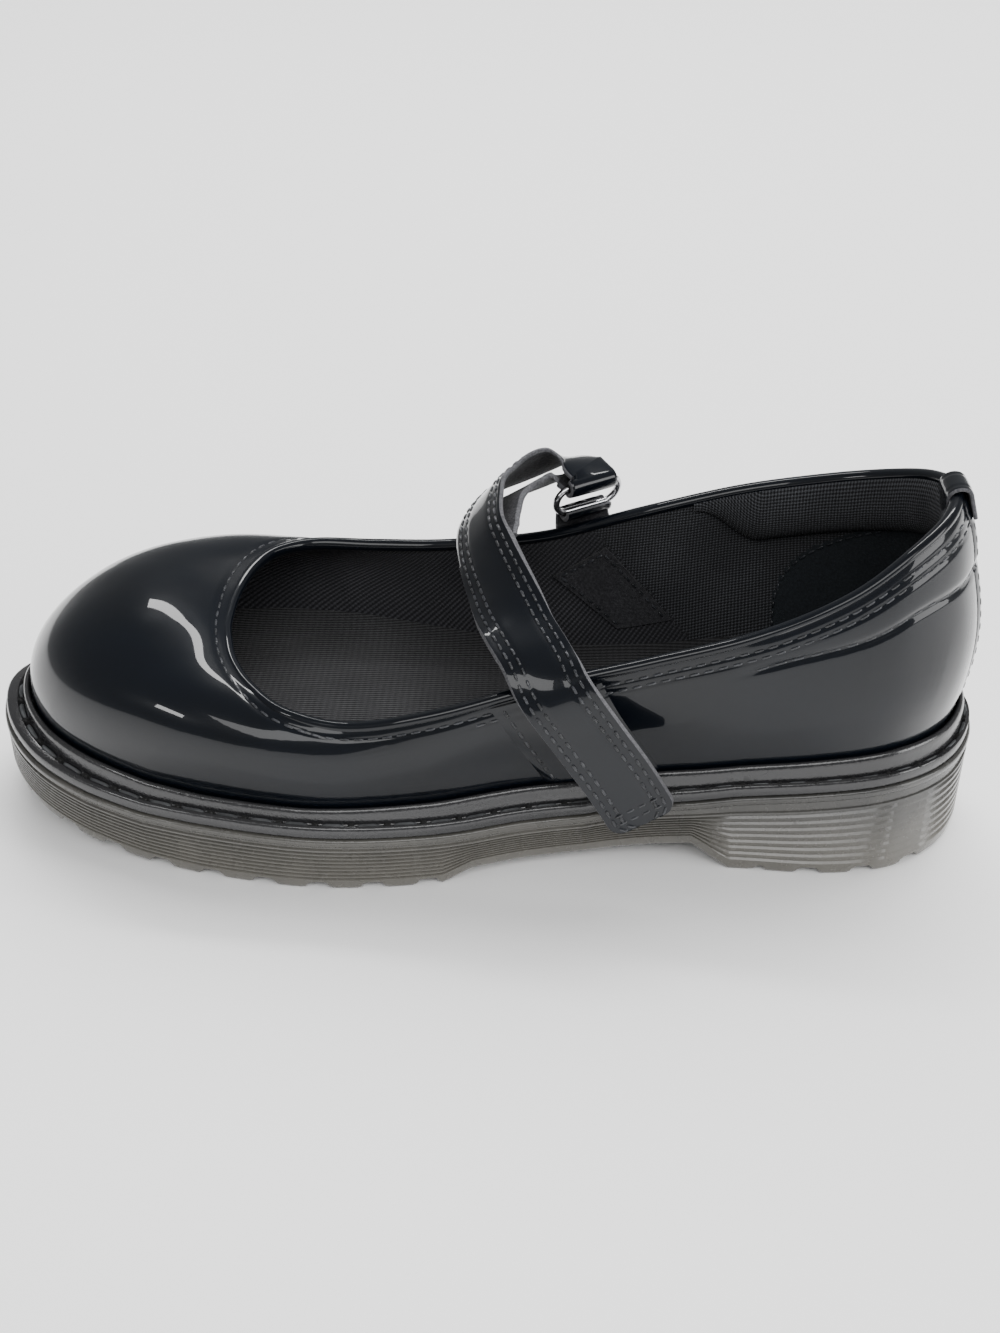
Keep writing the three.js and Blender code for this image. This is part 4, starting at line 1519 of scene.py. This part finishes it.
@dataclass(frozen=True)
class Strap:
    """The unfastened strap: two sewn plies that part before the ring, the outer one turned round it."""

    hold: RingHold
    samples: int = 170
    rows_in: tuple[float, float] = (2.0, 4.1)
    stitch: Stitches = Stitches(2.9, 2.1, 0.34, 0.06)
    sewn_end: float = 0.86
    free_part: float = 0.08
    free_width: float = 16.9
    parting: tuple[float, float] = (0.57, 0.53)
    parting_rise: float = 0.55
    ply: float = 1.25
    sewn_extra: float = 1.15
    turn_thickness: float = 1.2
    fold_start: float = 0.545
    fold_rise: float = 0.62
    fold_thickness: float = 1.5

    def frames(self, t: Array) -> tuple[Array, Array, Array, Array, dict[str, Array]]:
        """The strap's middle, across and face directions and width at parts t of its run.

        Args:
            t: Parts of the strap's run, from 0 to 1.

        Returns:
            Its middle, across and face directions, width and the table's other columns.
        """
        rows = dict(zip(STRAP_COLUMNS, np.array(STRAP_RUN, float).T))
        middle = Path(np.stack([rows[k] for k in "xyz"], 1))
        side = Path(np.stack([rows[k] for k in ("ax", "ay", "az")], 1))
        go = unit(middle.at(t + 0.004) - middle.at(t - 0.004))
        across = side.at(t)
        across = unit(across - go * (across * go).sum(1, keepdims=True))
        even = np.linspace(0, 1, len(STRAP_RUN))
        table = {k: np.interp(t, even, rows[k]) for k in ("width", "part", "far")}
        return middle.at(t), across, np.cross(go, across), table["width"] * STRAP_WIDTH, table

    def rounded(self, middle: Array, width: Array, radius: float = 3.2) -> Array:
        """The width with the free end's corners rounded.

        Args:
            middle: The strap's middle line.
            width: Its width before rounding.
            radius: The corners' radius.

        Returns:
            The width at every section.
        """
        run = lengths_along(middle)
        into = np.clip(radius - run, 0, radius)
        return width - 2 * (radius - np.sqrt(radius**2 - into**2))

    def build(self, form: ShoeForm, finishes: Wardrobe) -> None:
        """Makes the strap and its stitching.

        Args:
            form: The shoe's form.
            finishes: The finishes.
        """
        t = np.unique(np.r_[np.linspace(0, 0.03, 12), np.linspace(0.03, 1, self.samples)])
        middle, across, face, width, _ = self.frames(t)
        width = self.rounded(middle, np.maximum(width, self.free_width * (t < self.free_part)))
        sewn = ease(*self.parting, t)
        outer_thickness = self.ply + self.sewn_extra * sewn
        raised = middle + face * (self.parting_rise * (1 - sewn))[:, None]
        outer = Band(raised, across, face, width, outer_thickness)
        lead = -unit((middle[-1] - middle[-4])[None])[0]
        turn_middle, turn_face = self.hold.turn(True, lead, self.ply)
        count = len(turn_middle)
        bars = np.repeat(self.hold.bar[None], count, 0)
        back = t[t > self.fold_start][::-1]
        b_middle, b_across, b_face, b_width, b_table = self.frames(back)
        reach = b_across * (b_width / 2)[:, None]
        near = b_middle - reach - b_face * (self.fold_rise + b_table["part"])[:, None]
        far = b_middle + reach - b_face * (self.fold_rise + b_table["far"])[:, None]
        turned = np.full(count, self.turn_thickness)
        plies = [outer_thickness, turned, np.full(len(back), self.fold_thickness)]
        chain = Band(
            np.concatenate([outer.middle, turn_middle, (near + far) / 2]),
            np.concatenate([across, bars, unit(far - near)]),
            np.concatenate([face, turn_face, -b_face]),
            np.concatenate([width, np.full(count, width[-1]), b_width - 0.4]),
            np.concatenate(plies),
        )
        sections = int((t < self.sewn_end).sum())
        shell = chain.shell(self.rows_in, sewn=sections, cloth_from=len(t) + count - 3)
        shell.piece(form, "instep_strap", Slot.PATENT, finishes.strip, ["strap"], crease=50)
        self.sew(form, finishes, outer, t)

    def sew(self, form: ShoeForm, finishes: Wardrobe, outer: Band, t: Array) -> None:
        """Makes the double rows along both edges and across the free end.

        Args:
            form: The shoe's form.
            finishes: The finishes.
            outer: The strap's outer ply.
            t: The part of the run at each of its sections.
        """
        keep = (t > 0.008) & (t < self.sewn_end)
        rows = []
        for sign in (-1, 1):
            for inset in self.rows_in:
                path, normal = outer.line(inset, sign)
                rows.append(self.stitch.along(path[keep] + outer.face[keep] * 0.1, normal[keep]))
        run = lengths_along(outer.middle)
        for distance in self.rows_in:
            i = int(np.searchsorted(run, distance + 0.4))
            half = outer.width[i] / 2 - self.rows_in[0] - 0.4
            reach = np.linspace(-half, half, 24)[:, None]
            path = outer.middle[i] + outer.across[i] * reach + outer.face[i] * 1.2
            rows.append(self.stitch.along(path, np.repeat(outer.face[i][None], 24, 0)))
        Shell.join(rows).piece(form, "strap_stitching", Slot.PATENT, [finishes.thread])


@dataclass(frozen=True)
class RingTab:
    """The tab on the medial wall that holds the ring's lower bar."""

    hold: RingHold
    foot: tuple[float, float] = (17.7, 0.045)
    reach: tuple[float, float] = (0.82, 0.755)
    sections: int = 60
    foot_width: float = 17.0
    head_width: float = 15.0
    turn_width: float = 13.8
    thickness: float = 1.4
    turn_thickness: float = 1.2
    off_wall: float = 0.95
    row_in: float = 2.0
    stitch: Stitches = Stitches(2.9, 2.1, 0.34, 0.06)

    def build(self, form: ShoeForm, finishes: Wardrobe) -> None:
        """Makes the tab and its stitching.

        Args:
            form: The shoe's form.
            finishes: The finishes.
        """
        wall = self.wall(form)
        lead = unit((wall.middle[-1] - self.hold.bar_middle(False))[None])[0]
        turn_middle, turn_face = self.hold.turn(False, -lead, self.turn_thickness)
        if turn_face[0] @ wall.face[-1] < 0:
            turn_middle, turn_face = turn_middle[::-1], turn_face[::-1]
        count = len(turn_middle)
        bar = self.hold.bar if self.hold.bar @ wall.across[-1] > 0 else -self.hold.bar
        w = np.linspace(0, 1, 14)[1:-1, None]
        blend = w * w * (3 - 2 * w)
        link_across = unit(wall.across[-1] * (1 - blend) + bar * blend)
        link_face = unit(wall.face[-1] * (1 - blend) + turn_face[0] * blend)
        blend = blend[:, 0]
        widths = self.head_width + (self.turn_width - self.head_width) * blend
        plies = self.thickness + (self.turn_thickness - self.thickness) * blend
        band = Band(
            np.concatenate([wall.middle, self.link(wall.middle, turn_middle, w), turn_middle]),
            np.concatenate([wall.across, link_across, np.repeat(bar[None], count, 0)]),
            np.concatenate([wall.face, link_face, turn_face]),
            np.concatenate([wall.width, widths, np.full(count, self.turn_width)]),
            np.concatenate([wall.thickness, plies, np.full(count, self.turn_thickness)]),
            np.concatenate([wall.sag, wall.sag[-1] * (1 - blend), np.zeros(count)]),
        )
        shell = band.shell((self.row_in,))
        shell.piece(form, "ring_tab_strip", Slot.PATENT, finishes.strip, ["ring_tab"], crease=50)
        rows = []
        for sign in (-1, 1):
            path, normal = wall.line(self.row_in, sign)
            rows.append(self.stitch.along(path + wall.face * 0.15, normal))
        Shell.join(rows).piece(form, "ring_tab_stitching", Slot.PATENT, [finishes.thread])

    def wall(self, form: ShoeForm) -> Band:
        """The part of the tab that is sewn to the wall, its edges following the wall.

        Args:
            form: The shoe's form.

        Returns:
            The strip.
        """
        t = np.linspace(0, 1, self.sections)
        u, v = (start + reach * t for start, reach in zip(self.foot, self.reach))
        middle = form.skin(u, v, self.off_wall)
        width = self.foot_width + (self.head_width - self.foot_width) * t
        step = width / 2 / np.linalg.norm(form.skin(u + 0.5, v, 0.0) - form.skin(u - 0.5, v, 0.0), axis=1)
        edges = form.skin(u - step, v, self.off_wall), form.skin(u + step, v, self.off_wall)
        across = unit(edges[0] - edges[1])
        go = unit(np.gradient(middle, axis=0))
        across = unit(across - go * (across * go).sum(1, keepdims=True) * 0.8)
        face = unit(np.cross(go, across))
        face = face if face[0] @ form.normal(u, v)[0] > 0 else -face
        sag = np.clip(((middle - (edges[0] + edges[1]) / 2) * face).sum(1), 0, 2)
        return Band(middle, across, face, width, np.full(self.sections, self.thickness), sag)

    def link(self, wall: Array, turn: Array, w: Array) -> Array:
        """The smooth free run from the wall's last point to the turn's first, at parts w of it.

        Args:
            wall: The middle line on the wall.
            turn: The middle line of the turn.
            w: Parts of the run between them.

        Returns:
            The points.
        """
        reach = np.linalg.norm(turn[0] - wall[-1])
        near = wall[-1] + unit(np.gradient(wall, axis=0))[-1] * reach / 3
        far = turn[0] - unit((turn[1] - turn[0])[None])[0] * reach / 3
        s = 1 - w
        return s**3 * wall[-1] + 3 * w * s**2 * near + 3 * w**2 * s * far + w**3 * turn[0]


@dataclass(frozen=True)
class HeelTrim:
    """The strip down the back seam and the small tab at its top."""

    half_width: float = 0.42
    rise: float = 0.6
    stitch: Stitches = Stitches(sink=0.32)
    stitch_part: float = 0.72
    tab_width: float = 9.5
    tab_thickness: float = 0.9
    tab_front: Section = ((1.5, -7.0), (1.5, -5.0), (1.5, -3.0), (1.5, -1.4))
    tab_inside: Section = ((-4.2, -2.5), (-4.6, -4.5))

    def build(self, form: ShoeForm, finishes: Wardrobe, upper: Upper) -> None:
        """Makes the strip, the tab and their stitching.

        Args:
            form: The shoe's form.
            finishes: The finishes.
            upper: The upper that the strip lies on.
        """
        u = BACK_SEAM + np.linspace(-self.half_width, self.half_width, 17)
        v = np.linspace(0.02, 0.985, 60)
        grid_u, grid_v = np.meshgrid(u, v, indexing="ij")
        edge = 1 - (np.abs(u - BACK_SEAM) / self.half_width) ** 6
        outside = upper.outside(form, grid_u, grid_v)
        normal = form.normal(grid_u, grid_v)
        top = outside + normal * (0.1 + self.rise * edge)[:, None, None]
        under = outside - normal * 0.4
        shell = Shell.plate(top, under)
        shell.piece(form, "back_strip", Slot.PATENT, [finishes.patent], crease=60)
        rows = []
        t = np.linspace(0.04, 0.9, 90)
        for sign in (-1, 1):
            at = np.full_like(t, BACK_SEAM + sign * self.half_width * self.stitch_part)
            normal = form.normal(at, t)
            rows.append(self.stitch.along(upper.outside(form, at, t) + normal * self.rise, normal))
        Shell.join(rows).piece(form, "back_strip_stitching", Slot.PATENT, [finishes.thread])
        self.tab(form, finishes)

    def tab(self, form: ShoeForm, finishes: Wardrobe) -> None:
        """Makes the small tab folded over the top of the collar.

        Args:
            form: The shoe's form.
            finishes: The finishes.
        """
        one = np.array([BACK_SEAM])
        n = form.normal(one, np.ones(1))[0]
        top = form.wall(one, np.ones(1))[0]
        up = unit((top - form.wall(one, np.array([0.95]))[0])[None])[0]
        arch = [(-1.2 + 2.7 * math.cos(a), -0.6 + 2.1 * math.sin(a)) for a in np.linspace(0, np.pi, 13)]
        flat = np.array([*self.tab_front, *arch, *self.tab_inside])
        middle = top + flat[:, :1] * n + flat[:, 1:] * up
        go = unit(np.gradient(middle, axis=0))
        across = np.repeat(np.array([[0.0, 1.0, 0.0]]), len(middle), 0)
        face = np.cross(across, go)
        face = face if face[0] @ n > 0 else -face
        across = across if np.cross(go[0], across[0]) @ n > 0 else -across
        width, thickness = (np.full(len(middle), size) for size in (self.tab_width, self.tab_thickness))
        shell = Band(middle, across, face, width, thickness).shell((1.6,), 0.12)
        shell.piece(form, "heel_tab", Slot.PATENT, finishes.strip, crease=50)


@dataclass(frozen=True)
class Studio:
    """The pale floor, the soft lights and the camera."""

    floor_reach: float = 7.0
    surround: float = 0.3
    focal: float = 42.67
    eye: tuple[float, float, float] = (19.207, -339.153, 252.753)
    yaw: float = -0.038647
    pitch: float = 0.565556
    roll: float = 0.003634

    def build(self, form: ShoeForm, finishes: Wardrobe) -> None:
        """Sets the stage.

        Args:
            form: The shoe's form.
            finishes: The finishes.
        """
        mesh = bpy.data.meshes.new("studio_floor")
        reach = self.floor_reach
        corners = [(-reach, -reach, 0), (reach, -reach, 0), (reach, reach, 0), (-reach, reach, 0)]
        mesh.from_pydata(corners, [], [(0, 1, 2, 3)])
        mesh.materials.append(finishes.floor)
        floor = bpy.data.objects.new("studio_floor", mesh)
        bpy.context.collection.objects.link(floor)
        self.light("overhead", (0.6, 1.9, 2.6), (0, 0, 0), (5.0, 3.0), 240.0, mirrored=False)
        self.light("strip", (0.1, 0.7, 1.2), (0, 0, 0), (1.0, 0.12), 7.0)
        self.light("window", (-0.9, -0.9, 0.75), (-0.05, 0, 0.03), (0.22, 0.16), 2.0)
        self.light("heel_side", (1.3, -0.55, 0.5), (0.08, 0, 0.04), (0.9, 0.7), 12.0)
        self.light("front_fill", (0.3, -2.4, 2.6), (0, 0, 0), (3.0, 1.6), 70.0)
        self.world()
        self.camera(form)

    def light(
        self, name: str, at: tuple, to: tuple, size: tuple[float, float], power: float, mirrored: bool = True
    ) -> None:
        """Adds a soft box that faces a point.

        Args:
            name: Its name.
            at: Where it stands, in metres.
            to: The point that it faces.
            size: Its width and height.
            power: Its power in watts.
            mirrored: Whether glossy faces mirror it.
        """
        data = bpy.data.lights.new(name, "AREA")
        data.shape = "RECTANGLE"
        data.size, data.size_y = size
        data.energy = power
        lamp = bpy.data.objects.new(name, data)
        lamp.location = at
        lamp.visible_glossy = mirrored
        lamp.rotation_euler = (Vector(at) - Vector(to)).to_track_quat("Z", "Y").to_euler()
        bpy.context.collection.objects.link(lamp)

    def world(self) -> None:
        """Sets an even pale surround."""
        world = bpy.data.worlds.new("surround")
        world.use_nodes = True
        background = world.node_tree.nodes["Background"]
        background.inputs["Color"].default_value = (1.0, 1.0, 1.0, 1.0)
        background.inputs["Strength"].default_value = self.surround
        bpy.context.scene.world = world

    def camera(self, form: ShoeForm) -> None:
        """Adds the camera.

        Args:
            form: The shoe's form.
        """
        cos, sin = math.cos, math.sin
        ahead = np.array([sin(self.yaw) * cos(self.pitch), cos(self.yaw) * cos(self.pitch), -sin(self.pitch)])
        right = np.array([cos(self.yaw), -sin(self.yaw), 0.0])
        above = np.cross(right, ahead)
        turned = cos(self.roll) * right + sin(self.roll) * above
        upright = -sin(self.roll) * right + cos(self.roll) * above
        data = bpy.data.cameras.new("camera")
        data.lens = self.focal
        data.sensor_width = 36.0
        data.clip_start, data.clip_end = 0.01, 50.0
        camera = bpy.data.objects.new("camera", data)
        axes = Matrix([turned.tolist(), upright.tolist(), (-ahead).tolist()]).transposed().to_4x4()
        eye = (np.array(self.eye) + form.shift) * MM
        camera.matrix_world = Matrix.Translation(Vector(eye.tolist())) @ axes
        bpy.context.collection.objects.link(camera)
        bpy.context.scene.camera = camera


def main() -> None:
    """Builds the whole shoe and its stage."""
    logging.basicConfig(level=logging.INFO)
    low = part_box("outsole")[0]
    edge = np.array([min(row[0] for row in STATIONS), min(row[1] for row in STATIONS)], float)
    shift = np.array([low[0] / MM - edge[0], low[1] / MM - edge[1], 0.0])
    log.info("frame shift in millimetres: %s", shift)
    form = ShoeForm(shift)
    finishes = Wardrobe()
    hold = RingHold()
    upper = Upper()
    Sole().build(form, finishes)
    Welt().build(form, finishes)
    upper.build(form, finishes)
    Inside().build(form, finishes)
    Strap(hold).build(form, finishes)
    hold.build(form, finishes)
    RingTab(hold).build(form, finishes)
    HeelTrim().build(form, finishes, upper)
    Studio().build(form, finishes)


if __name__ == "__main__":
    main()
